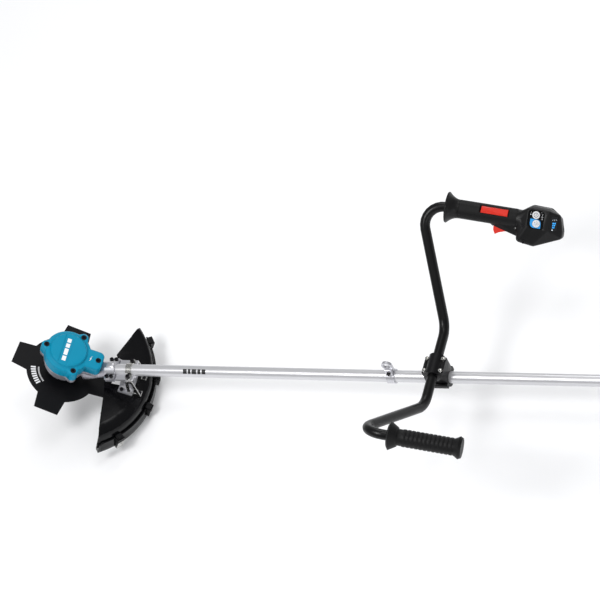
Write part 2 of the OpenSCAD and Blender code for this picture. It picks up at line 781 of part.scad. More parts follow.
module left_grip() {
  color([0.07, 0.07, 0.07]) at_hook() in_left_grip() difference() {
    union() {
      cone_x(30, 20.5, -14, 2);
      cone_x(24, 30, -18, -14 + eps);
      rod_x(17.5, 2 - eps, 132);
      for (x = [14:9:122]) rod_x(18.6, x, x + 5.5);
      cone_x(18, 24, 122, 132);
      cone_x(24, 21, 132 - eps, 138);
    }
    rod_x(bar_r + press, -30, 30 + press);
    rod_x(bar_r - 2, -30, 128);
  }
}

// ---------- control grip ----------

// Outer body of the control grip, before it is split and opened.
module grip_body(shrink) {
  rod_x(grip_r - shrink, 0 + shrink, bulb_x0 + 20);
  // swelling that carries the trigger
  hull() {
    for (p = [[76, -20], [84, -25.5], [132, -27], [136, -40]])
      translate([p[0], 0, p[1] + 8]) sphere(r = 9 - shrink * 0.8, $fn = hull_fn);
    for (p = [[70, -12], [136, -12]])
      translate([p[0], 0, p[1] + 6]) sphere(r = 12 - shrink, $fn = hull_fn);
  }
  bulb(shrink);
}

// Centres of the balls that round off the switch housing at the rear end of the grip.
bulb_points = [
  // panel face and the slanted display face beside it
  [154, -20, -12], [195, -20, -12], [195, -20, 20], [154, -20, 21], [212, -8, -13], [212, -8, 15],
  // lower edge
  [140, -13, -39], [169, -13, -43], [219, -3, -22], [219, -3, -14],
  [140, 16.4, -39], [169, 16.4, -43], [219, 16.4, -22],
  // back and neck
  [136, -9, -14], [136, -9, 9], [158, -9, 24], [193, -9, 23],
  [136, 16.4, -14], [136, 16.4, 9], [158, 16.4, 24], [193, 16.4, 23], [213, 16.4, 8], [219, 16.4, -14]
];

// Switch housing at the rear end of the grip.
module bulb(shrink) {
  hull() for (p = bulb_points) translate(p) sphere(r = bulb_round - shrink, $fn = hull_fn);
}

// All openings cut into both shell halves.
module grip_openings() {
  // socket for the handlebar tube
  rod_x(bar_r + press, -5, 30 + 0.4);
  // space for the trigger switch
  box([84, -6, -15], [121, 6, 1]);
  // trigger slot
  box([77, -6.3, -50], [132.4, 6.3, -12]);
  // lever slot
  rotate([lever_turn, 0, 0]) box([47.5, -8.3, 6.5], [108.5, 8.3, 40]);
  // seat of the control panel and buttons
  panel_seat(0.25, 1.6);
  display_seat(0.25, 1.4);
  // wells that the buttons are pressed into
  for (i = [0, 1]) button_places(i) translate([0, 0, -1.6]) cylinder(r = 8.1 + gap, h = 4);
}

panel_pts = [[153, -5], [160, -13], [187, -13], [187.5, 21], [180, 27], [158, 27.5], [153, 22]];

// Prism on the flat face of the bulb, from depth t outwards.
module panel_seat(play, t) {
  translate([0, -29 + t, 0]) rotate([90, 0, 0]) linear_extrude(4)
    polygon(rounded(grown(panel_pts, play), 3 + play));
}

module display_frame() {
  translate([203.5 + bulb_round * sin(display_turn), -14 - bulb_round * cos(display_turn), 3])
    rotate([0, 0, display_turn]) rotate([0, -3, 0]) children();
}

module display_seat(play, t) {
  display_frame() box([-7.8 - play, -3, -15.5 - play], [7.8 + play, t, 15.5 + play]);
}

module grip_split(s) {
  intersection() {
    children();
    box([-10, s > 0 ? gap / 4 : -60, -80], [260, s > 0 ? 60 : -gap / 4, 60]);
  }
}

module grip_hollow() {
  difference() {
    grip_body(0);
    grip_openings();
    // the overmould sits in a shallow relief
    overmould_zone(0);
    grip_screw_places() translate([0, 0, -1.5]) cylinder(r = 3.6, h = 40);
    grip_screw_places() translate([0, 0, -60]) cylinder(r = 1.6, h = 80);
    trigger_axis() rod_y(1.5 + press, -11, 11);
    lever_axis() rod_y(1.5 + press, -11, 11);
  }
}

module grip_screw_places() {
  for (p = [[144, -11, -23.4], [149, -46, -19]]) translate([p[0], p[2], p[1]])
    rotate([90, 0, 0]) children();
}

// Thin zone of the soft overmould around the grip, open under the seam.
module overmould_zone(play) {
  t = 1.4;
  difference() {
    intersection() {
      rod_x(grip_r + 0.6 - play, 2 + play, 126.5 - play);
      box([0, -40, -15.5 + play], [140, 40, 40]);
    }
    rod_x(grip_r - t + play, -5, 150);
    rotate([lever_turn, 0, 0]) box([46 - play, -10 - play, 8], [110 + play, 10 + play, 40]);
  }
}

module grip_overmould() {
  color([0.1, 0.1, 0.1]) at_hook() in_grip() overmould_zone(press);
}

module grip_shell_inner() {
  color([0.13, 0.13, 0.14]) at_hook() in_grip() grip_split(-1) grip_hollow();
}

module grip_shell_outer() {
  color([0.13, 0.13, 0.14]) at_hook() in_grip() grip_split(1) grip_hollow();
}

module grip_collar() {
  flare_n = 9;
  flare = [for (i = [0:flare_n]) let (t = i / flare_n)
    [grip_r + 0.4 + 12.4 * pow(t, 1.9), -0.4 - 23 * t]];
  color([0.11, 0.11, 0.12]) at_hook() in_grip() difference() {
    rotate([0, 90, 0]) rotate_extrude() polygon(concat(
      [[0, -0.4]], flare, [[33.4, -25], [32.4, -27], [30, -27.6], [0, -27.6]]));
    rod_x(bar_r + press, -60, 30);
  }
}

module trigger_axis() {
  translate([127, 0, -20]) children();
}

module trigger() {
  color([0.84, 0.13, 0.1]) at_hook() in_grip() difference() {
    union() {
      side_plate([
        [79, -22], [79.5, -31], [84, -40], [92, -35], [104, -31], [118, -29.5], [131.5, -30.5],
        [131.5, -17], [104, -17]
      ], 1.2, -6, 6);
      trigger_axis() rod_y(4, -6, 6);
    }
    trigger_axis() rod_y(1.5 + 0.05, -10, 10);
  }
}

module trigger_pin() {
  color([0.75, 0.75, 0.76]) at_hook() in_grip() trigger_axis() rod_y(1.5, -10.5, 10.5);
}

module lever_axis() {
  rotate([lever_turn, 0, 0]) translate([104, 0, 15]) children();
}

module lock_off_lever() {
  color([0.84, 0.13, 0.1]) at_hook() in_grip() {
    difference() {
      rotate([lever_turn, 0, 0]) intersection() {
        side_plate([
          [48.3, 14], [50, 22], [56, 26.5], [107.5, 20.3], [107.5, 12], [100, 11.5]
        ], 1.2, -8, 8);
        // the top narrows to a ridge along the middle
        translate([46, 0, 0]) rotate([90, 0, 90]) linear_extrude(64)
          polygon([[-8, 10], [8, 10], [8, 18], [1.2, 27], [-1.2, 27], [-8, 18]]);
      }
      lever_axis() rod_y(1.5 + 0.05, -10, 10);
    }
  }
}

module lever_pin() {
  color([0.75, 0.75, 0.76]) at_hook() in_grip() lever_axis() rod_y(1.5, -9.7, 9.7);
}

module trigger_switch() {
  color([0.25, 0.25, 0.27]) at_hook() in_grip() {
    box([86, -5.6, -11.7], [118, 5.6, -1]);
    translate([94, 0, -12.1]) cylinder(r = 2.4, h = 2);
  }
}

module control_panel() {
  color([0.03, 0.03, 0.04]) at_hook() in_grip() difference() {
    translate([0, -27.4 - press, 0]) rotate([90, 0, 0]) linear_extrude(1.7)
      polygon(rounded(panel_pts, 3));
    button_places(0) cylinder(r = 8.1 + gap, h = 20, center = true);
    button_places(1) cylinder(r = 8.1 + gap, h = 20, center = true);
  }
}

module button_places(i) {
  translate([i == 0 ? 169.5 : 172, -27.4, i == 0 ? 16.5 : -1.5]) rotate([90, 0, 0]) children();
}

module power_button() {
  color([0.85, 0.85, 0.87]) at_hook() in_grip() button_places(0) drum(8.1, 2.9, 0.5);
}

module reverse_button() {
  color([0.8, 0.86, 0.92]) at_hook() in_grip() button_places(1) drum(8.1, 2.9, 0.5);
}

module display_window() {
  color([0.04, 0.05, 0.08]) at_hook() in_grip() display_frame()
    box([-7.8, -0.3, -15.5], [7.8, 1.4 - press, 15.5]);
}

module grip_screws() {
  color([0.1, 0.1, 0.1]) at_hook() in_grip() grip_screw_places() {
    translate([0, 0, -1.5 + press]) socket_screw(1.6 - press, 3.1, 2.6, 16);
  }
}

// ---------- rear power unit ----------

module pipe_collar() {
  color([0.12, 0.12, 0.13]) at_hook() difference() {
    union() {
      cone_x(17, 26, rear_x0 - 46, rear_x0 - 14);
      rod_x(26, rear_x0 - 14 - eps, rear_x0 - press);
    }
    rod_x(pipe_r + press, rear_x0 - 60, rear_x0 + 10);
  }
}

rear_pts = [
  [rear_x0, 34], [rear_x0 + 34, rear_top], [rear_x1, rear_top],
  [rear_x1, -floor_drop + foot_h], [rear_x0 + 40, -floor_drop + foot_h], [rear_x0 + 8, -40]
];

module rear_solid() {
  intersection() {
    side_plate(rear_pts, 9, -rear_half_w, rear_half_w);
    hull() for (x = [rear_x0 + 16, rear_x1 + 30], s = [-1, 1])
      translate([x, s * (rear_half_w - 16), -200]) cylinder(r = 16, h = 400, $fn = hull_fn);
  }
}

module rear_half(s) {
  color([0.05, 0.5, 0.58]) at_hook() difference() {
    intersection() {
      rear_solid();
      box([1000, s > 0 ? gap / 4 : -100, -300], [2000, s > 0 ? 100 : -gap / 4, 300]);
    }
    rod_x(pipe_r + press, rear_x0 - 30, pipe_end_x + press);
    // electronics space
    box([rear_x0 + 40, -38, -88], [rear_x1 - 6, 38, 48]);
    // opening for the terminal block
    box([rear_x1 - 7, -26 - press, -62 - press], [rear_x1 + 5, 26 + press, 22 + press]);
    rear_screw_places(1) cylinder(r = 4, h = 20);
    rear_screw_places(1) translate([0, 0, -90]) cylinder(r = 1.9 + press, h = 92);
    // cooling slots at both sides
    for (z = [-30:12:18]) box([rear_x0 + 62, -80, z], [rear_x0 + 108, 80, z + 4]);
  }
}

module rear_screw_places(k) {
  for (p = [[rear_x0 + 26, -36], [rear_x0 + 30, 44], [rear_x1 - 14, 53], [rear_x1 - 22, -99]])
    translate([p[0], rear_half_w - 4, p[1]]) rotate([-90, 0, 0]) children();
}

module rear_housing_left() {
  rear_half(-1);
}

module rear_housing_right() {
  rear_half(1);
}

module housing_screws() {
  color([0.1, 0.1, 0.1]) at_hook() rear_screw_places(1) translate([0, 0, press])
    socket_screw(1.9, 3.6, 3, 70);
}

module controller() {
  color([0.2, 0.35, 0.25]) at_hook() {
    box([rear_x0 + 46, -32, -70], [rear_x0 + 50, 32, 30]);
    for (z = [-60:8:20]) box([rear_x0 + 50 - eps, -28, z], [rear_x0 + 68, 28, z + 2]);
    for (y = [-18, 0, 18]) translate([rear_x0 + 70, y, 36]) cylinder(r = 6, h = 10);
    box([rear_x0 + 46, -26, 32], [rear_x0 + 84, 26, 36 + eps]);
    box([rear_x0 + 46, -26, 29], [rear_x0 + 50, 26, 33]);
  }
}

module terminal_block() {
  color([0.1, 0.1, 0.11]) at_hook() difference() {
    union() {
      box([rear_x1 - 6, -26, -62], [rear_x1 + 2, 26, 22]);
      for (s = [-1, 1]) box([rear_x1 + 2 - eps, s * 20 - 3, -62], [rear_x1 + 9, s * 20 + 3, 22]);
      for (s = [-1, 1]) box([rear_x1 + 6, s > 0 ? 20 : -26, -62], [rear_x1 + 9, s > 0 ? 26 : -20, 22]);
    }
    for (s = [-1, 1]) box([rear_x1 - 8, s * 10 - 2, -30], [rear_x1, s * 10 + 2, 0]);
  }
  color([0.8, 0.7, 0.4]) at_hook() for (s = [-1, 1])
    box([rear_x1 + 2 - eps, s * 10 - 0.8, -52], [rear_x1 + 8, s * 10 + 0.8, -30]);
}

module rear_foot() {
  color([0.07, 0.07, 0.07]) at_hook() difference() {
    hull() for (x = [rear_x0 + 62, rear_x1 + 84], s = [-1, 1])
      translate([x, s * (rear_half_w - 4), -floor_drop]) {
        cylinder(r1 = 10, r2 = 12, h = 3, $fn = hull_fn);
        cylinder(r = 12, h = foot_h - press, $fn = hull_fn);
      }
    box([rear_x1 + 4, -batt_half_w - 2, -floor_drop + 6], [rear_x1 + 84, batt_half_w + 2, 0]);
  }
  // bumper bar that rises behind the battery
  color([0.07, 0.07, 0.07]) at_hook() for (s = [-1, 1])
    box([rear_x1 + 78, s * (batt_half_w + 5) - 3, -floor_drop + 6],
      [rear_x1 + 92, s * (batt_half_w + 5) + 3, -floor_drop + 44]);
}

module battery_pack() {
  x1 = batt_x0 + batt_len_x;
  color([0.1, 0.1, 0.11]) at_hook() difference() {
    union() {
      intersection() {
        side_plate([
          [batt_x0, batt_z0], [x1, batt_z0], [x1, batt_z0 + batt_h - 10],
          [x1 - 12, batt_z0 + batt_h], [batt_x0, batt_z0 + batt_h]
        ], 3, -batt_half_w, batt_half_w);
        hull() for (x = [batt_x0 + 2, x1 - 9], s = [-1, 1])
          translate([x, s * (batt_half_w - 9), -300]) cylinder(r = 9, h = 500, $fn = hull_fn);
      }
      // slide rails with hooked edges
      for (s = [-1, 1]) {
        box([rear_x1 + 2.6, s > 0 ? 26.5 : -33, -60], [batt_x0 + 1, s > 0 ? 33 : -26.5, 20]);
        box([rear_x1 + 2.6, s > 0 ? 23.6 : -33, -60], [rear_x1 + 5.6, s > 0 ? 33 : -23.6, 20]);
      }
    }
    battery_button_seat(gap);
  }
}

module battery_button_seat(play) {
  translate([batt_x0 + 34, 0, batt_z0 + batt_h])
    box([-13 - play, -15 - play, -7 - play], [13 + play, 15 + play, 5]);
}

module battery_button() {
  color([0.75, 0.1, 0.08]) at_hook() translate([batt_x0 + 34, 0, batt_z0 + batt_h])
    side_plate([[-13, -3.4], [13, -3.4], [13, 0.5], [10, 2], [-10, 2], [-13, 0.5]], 0.6, -15, 15);
}

// ---------- assembly ----------

motor_cover();
cover_screws();
motor_housing();
motor_stator();
upper_bearing();
lower_bearing();
dust_ring();
rotor();
spindle();
receiver_washer();
blade();
clamp_washer();
cup();
blade_nut();
neck_clamp();
neck_bolts();
main_pipe();
guard();
guard_skirt();
guard_clips();
line_cutter();
guard_bracket();
guard_saddle();
guard_bolts();
guard_stay();
hanger();
hanger_bolt();
handle_base();
handle_cap();
handle_bolts();
handlebar();
left_grip();
grip_collar();
grip_shell_inner();
grip_shell_outer();
grip_overmould();
trigger();
trigger_pin();
trigger_switch();
lock_off_lever();
lever_pin();
control_panel();
power_button();
reverse_button();
display_window();
grip_screws();
pipe_collar();
rear_housing_left();
rear_housing_right();
housing_screws();
controller();
terminal_block();
rear_foot();
battery_pack();
battery_button();
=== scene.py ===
"""Cordless brush cutter with a front motor head, a four tooth blade and a bull horn handlebar.

The finishes come first, then the bench that models pieces, then one class for each sub-assembly, and
last the studio. Lengths are metres, and values ending in _mm are millimetres.
"""

import json
import logging
import math
from dataclasses import dataclass, field
from enum import Enum

import bmesh
import bpy
from mathutils import Matrix, Vector

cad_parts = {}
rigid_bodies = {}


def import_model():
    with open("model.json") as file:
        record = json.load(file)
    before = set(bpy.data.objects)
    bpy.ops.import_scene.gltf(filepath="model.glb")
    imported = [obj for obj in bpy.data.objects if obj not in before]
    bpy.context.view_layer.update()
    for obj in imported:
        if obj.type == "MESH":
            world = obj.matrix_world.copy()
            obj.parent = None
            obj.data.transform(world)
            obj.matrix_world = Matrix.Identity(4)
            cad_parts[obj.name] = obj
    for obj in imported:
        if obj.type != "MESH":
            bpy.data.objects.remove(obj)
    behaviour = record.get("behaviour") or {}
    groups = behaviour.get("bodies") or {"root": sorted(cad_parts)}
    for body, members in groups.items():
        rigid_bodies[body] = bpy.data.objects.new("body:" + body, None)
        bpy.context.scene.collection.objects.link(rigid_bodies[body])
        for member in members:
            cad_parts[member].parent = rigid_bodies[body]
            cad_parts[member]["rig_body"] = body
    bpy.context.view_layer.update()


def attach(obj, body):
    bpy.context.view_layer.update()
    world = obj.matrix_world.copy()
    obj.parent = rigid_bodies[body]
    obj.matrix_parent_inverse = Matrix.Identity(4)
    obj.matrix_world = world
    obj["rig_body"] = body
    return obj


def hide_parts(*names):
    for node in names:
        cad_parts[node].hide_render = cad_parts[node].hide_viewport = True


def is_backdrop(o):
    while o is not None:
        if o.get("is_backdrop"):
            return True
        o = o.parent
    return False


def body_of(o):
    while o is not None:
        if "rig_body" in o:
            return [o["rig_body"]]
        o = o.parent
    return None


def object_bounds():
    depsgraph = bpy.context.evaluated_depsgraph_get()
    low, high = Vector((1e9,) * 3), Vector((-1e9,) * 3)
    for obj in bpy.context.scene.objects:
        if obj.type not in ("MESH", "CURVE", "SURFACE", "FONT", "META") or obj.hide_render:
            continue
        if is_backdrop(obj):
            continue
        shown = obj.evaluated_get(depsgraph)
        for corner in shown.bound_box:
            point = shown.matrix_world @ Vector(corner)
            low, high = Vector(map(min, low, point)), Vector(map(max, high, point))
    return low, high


logging.basicConfig(level=logging.INFO, format="%(message)s")
log = logging.getLogger("brush_cutter")

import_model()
MM = 0.001
# lean of the motor axis from upright
HEAD_TILT = math.radians(31)
# turns of the wave texture in one unit of its scale
WAVE_TURNS = 20


# ---------- colour and nodes ----------


def linear(code: str) -> tuple[float, float, float, float]:
    """Turn an sRGB hex code into the linear colour that a shader takes.

    Args:
        code: Six hex digits, such as "0998B4".

    Returns:
        Red, green, blue and alpha, linear.
    """
    parts = [int(code[i : i + 2], 16) / 255 for i in (0, 2, 4)]
    red, green, blue = (c / 12.92 if c <= 0.04045 else ((c + 0.055) / 1.055) ** 2.4 for c in parts)
    return red, green, blue, 1.0


def per_mm(size_mm: float) -> float:
    """Scale of a texture on metre coordinates whose features are size_mm wide."""
    return 1 / (size_mm * MM)


def add_node(tree: bpy.types.NodeTree, kind: str, inputs: dict | None = None, **settings) -> bpy.types.Node:
    """Add a node to a material.

    Args:
        tree: The material's node tree.
        kind: The node's type name.
        inputs: For each input, by name or number, a value or an output to link.
        **settings: Properties of the node.

    Returns:
        The new node.
    """
    node = tree.nodes.new(kind)
    for name, value in settings.items():
        setattr(node, name, value)
    for name, value in (inputs or {}).items():
        if isinstance(value, bpy.types.NodeSocket):
            tree.links.new(value, node.inputs[name])
        else:
            node.inputs[name].default_value = value
    return node


class Axis(Enum):
    """Axes that a pattern runs along or about, in the machine's frame."""

    SHAFT = (1.0, 0.0, 0.0)
    MOTOR = (math.sin(HEAD_TILT), 0.0, math.cos(HEAD_TILT))


# ---------- finishes ----------


@dataclass(frozen=True)
class Finish:
    """A solid surface with two close tones, a fine grain and uneven gloss."""

    name: str
    colour: str
    tone: str
    roughness: float = 0.45
    rough_play: float = 0.08
    metallic: float = 0.0
    ior: float = 1.5
    coat: float = 0.0
    cloud_mm: float = 30.0
    grain_mm: float = 0.8
    grain_depth_mm: float = 0.03

    def make(self) -> bpy.types.Material:
        """Build the material.

        Returns:
            The material, with its colour, gloss and relief from nodes.
        """
        material = bpy.data.materials.new(self.name)
        material.use_nodes = True
        tree = material.node_tree
        shader = tree.nodes["Principled BSDF"]
        shader.inputs["Metallic"].default_value = self.metallic
        if self.metallic < 0.5:
            shader.inputs["IOR"].default_value = self.ior
        shader.inputs["Coat Weight"].default_value = self.coat
        shader.inputs["Coat Roughness"].default_value = 0.12
        where = add_node(tree, "ShaderNodeTexCoord").outputs["Object"]
        tree.links.new(self.paint(tree, where), shader.inputs["Base Color"])
        tree.links.new(self.gloss(tree, where), shader.inputs["Roughness"])
        tree.links.new(self.relief(tree, where), shader.inputs["Normal"])
        return material

    def paint(self, tree: bpy.types.NodeTree, where: bpy.types.NodeSocket) -> bpy.types.NodeSocket:
        """Mix the two tones by soft clouds.

        Args:
            tree: The material's node tree.
            where: The place on the piece.

        Returns:
            The colour.
        """
        cloud = add_node(
            tree, "ShaderNodeTexNoise", {"Vector": where, "Scale": per_mm(self.cloud_mm), "Detail": 3.0}
        )
        return add_node(
            tree,
            "ShaderNodeMix",
            {0: cloud.outputs[0], 6: linear(self.colour), 7: linear(self.tone)},
            data_type="RGBA",
        ).outputs[2]

    def gloss(self, tree: bpy.types.NodeTree, where: bpy.types.NodeSocket) -> bpy.types.NodeSocket:
        """Vary the roughness by handling marks.

        Args:
            tree: The material's node tree.
            where: The place on the piece.

        Returns:
            The roughness.
        """
        marks = add_node(
            tree, "ShaderNodeTexNoise", {"Vector": where, "Scale": per_mm(self.cloud_mm / 3), "Detail": 5.0}
        )
        return add_node(
            tree,
            "ShaderNodeMapRange",
            {
                "Value": marks.outputs[0],
                "To Min": max(self.roughness - self.rough_play, 0.03),
                "To Max": min(self.roughness + self.rough_play, 1.0),
            },
        ).outputs[0]

    def relief(self, tree: bpy.types.NodeTree, where: bpy.types.NodeSocket) -> bpy.types.NodeSocket:
        """Raise a fine isotropic grain.

        Args:
            tree: The material's node tree.
            where: The place on the piece.

        Returns:
            The shading normal.
        """
        grain = add_node(
            tree, "ShaderNodeTexNoise", {"Vector": where, "Scale": per_mm(self.grain_mm), "Detail": 2.0}
        )
        return self.bump(tree, grain.outputs[0])

    def bump(self, tree: bpy.types.NodeTree, height: bpy.types.NodeSocket) -> bpy.types.NodeSocket:
        """Turn a height from 0 to 1 into a normal, as deep as the grain."""
        return add_node(
            tree, "ShaderNodeBump", {"Height": height, "Distance": self.grain_depth_mm * MM, "Strength": 0.7}
        ).outputs[0]


@dataclass(frozen=True)
class DrawnMetal(Finish):
    """A metal tube or bar drawn through a die, with fine lines along it."""

    axis: Axis = Axis.SHAFT
    line_mm: float = 0.5

    def relief(self, tree: bpy.types.NodeTree, where: bpy.types.NodeSocket) -> bpy.types.NodeSocket:
        """Raise fine lines that run along the tube.

        Args:
            tree: The material's node tree.
            where: The place on the piece.

        Returns:
            The shading normal.
        """
        # the noise is drawn out a hundred times along the axis
        stretch = tuple(0.01 if part else 1.0 for part in self.axis.value)
        long_way = add_node(tree, "ShaderNodeMapping", {"Vector": where, "Scale": stretch})
        lines = add_node(
            tree,
            "ShaderNodeTexNoise",
            {"Vector": long_way.outputs[0], "Scale": per_mm(self.line_mm), "Detail": 2.0},
        )
        return self.bump(tree, lines.outputs[0])


@dataclass(frozen=True)
class TurnedMetal(Finish):
    """A metal face turned on a lathe, with rings about the motor axis."""

    ring_mm: float = 0.6

    def relief(self, tree: bpy.types.NodeTree, where: bpy.types.NodeSocket) -> bpy.types.NodeSocket:
        """Raise fine rings about the motor axis.

        Args:
            tree: The material's node tree.
            where: The place on the piece.

        Returns:
            The shading normal.
        """
        centre = CuttingHead.at.to_translation()
        turned = add_node(
            tree,
            "ShaderNodeMapping",
            {"Vector": where, "Location": centre, "Rotation": (0.0, HEAD_TILT, 0.0)},
            vector_type="TEXTURE",
        )
        rings = add_node(
            tree,
            "ShaderNodeTexWave",
            {"Vector": turned.outputs[0], "Scale": per_mm(self.ring_mm) / WAVE_TURNS, "Distortion": 0.3},
            wave_type="RINGS",
            rings_direction="Z",
        )
        return self.bump(tree, rings.outputs[0])


@dataclass(frozen=True)
class GroundBlade(Finish):
    """Sheet steel with black electrocoat, bright where the tooth edges are ground."""

    bright: str = "D5D6D8"
    # a face is level above the first cosine to the motor axis, and upright below the second
    level_over: float = 0.97
    upright_under: float = 0.12

    def ground(self, tree: bpy.types.NodeTree) -> bpy.types.NodeSocket:
        """Mask the ground flanks, which are neither level nor upright to the sheet.

        Args:
            tree: The material's node tree.

        Returns:
            1 on a ground flank and 0 on the coating.
        """
        facing = add_node(tree, "ShaderNodeTexCoord").outputs["Normal"]
        dot = add_node(
            tree, "ShaderNodeVectorMath", {0: facing, 1: Axis.MOTOR.value}, operation="DOT_PRODUCT"
        )
        level = add_node(tree, "ShaderNodeMath", {0: dot.outputs["Value"]}, operation="ABSOLUTE")
        slanted = add_node(
            tree, "ShaderNodeMath", {0: level.outputs[0], 1: self.level_over}, operation="LESS_THAN"
        )
        upright = add_node(
            tree, "ShaderNodeMath", {0: level.outputs[0], 1: self.upright_under}, operation="GREATER_THAN"
        )
        return add_node(
            tree, "ShaderNodeMath", {0: slanted.outputs[0], 1: upright.outputs[0]}, operation="MULTIPLY"
        ).outputs[0]

    def make(self) -> bpy.types.Material:
        """Build the material, with bare metal where the blade is ground."""
        material = super().make()
        tree = material.node_tree
        shader = tree.nodes["Principled BSDF"]
        tree.links.new(self.ground(tree), shader.inputs["Metallic"])
        return material

    def paint(self, tree: bpy.types.NodeTree, where: bpy.types.NodeSocket) -> bpy.types.NodeSocket:
        """Black coating, with bright steel on the ground flanks.

        Args:
            tree: The material's node tree.
            where: The place on the piece.

        Returns:
            The colour.
        """
        coat = super().paint(tree, where)
        return add_node(
            tree,
            "ShaderNodeMix",
            {0: self.ground(tree), 6: coat, 7: linear(self.bright)},
            data_type="RGBA",
        ).outputs[2]


@dataclass(frozen=True)
class SoftRubber(Finish):
    """Thermoplastic rubber with a moulded field of small dots."""

    dot_mm: float = 1.4

    def relief(self, tree: bpy.types.NodeTree, where: bpy.types.NodeSocket) -> bpy.types.NodeSocket:
        """Raise rounded dots.

        Args:
            tree: The material's node tree.
            where: The place on the piece.

        Returns:
            The shading normal.
        """
        dots = add_node(tree, "ShaderNodeTexVoronoi", {"Vector": where, "Scale": per_mm(self.dot_mm)})
        return self.bump(tree, dots.outputs["Distance"])


@dataclass(frozen=True)
class CopperWinding(Finish):
    """Enamelled copper wire laid side by side."""

    wire_mm: float = 0.8

    def relief(self, tree: bpy.types.NodeTree, where: bpy.types.NodeSocket) -> bpy.types.NodeSocket:
        """Raise the single wires.

        Args:
            tree: The material's node tree.
            where: The place on the piece.

        Returns:
            The shading normal.
        """
        wires = add_node(
            tree,
            "ShaderNodeTexWave",
            {"Vector": where, "Scale": per_mm(self.wire_mm) / WAVE_TURNS, "Distortion": 1.0},
            bands_direction="Z",
        )
        return self.bump(tree, wires.outputs[0])


@dataclass(frozen=True)
class LitSymbol(Finish):
    """A printed symbol that is lit from behind."""

    glow: float = 0.8

    def make(self) -> bpy.types.Material:
        """Build the material, with its own light."""
        material = super().make()
        shader = material.node_tree.nodes["Principled BSDF"]
        shader.inputs["Emission Color"].default_value = linear(self.colour)
        shader.inputs["Emission Strength"].default_value = self.glow
        return material


INK = {"cloud_mm": 5.0, "grain_mm": 0.4, "grain_depth_mm": 0.01}


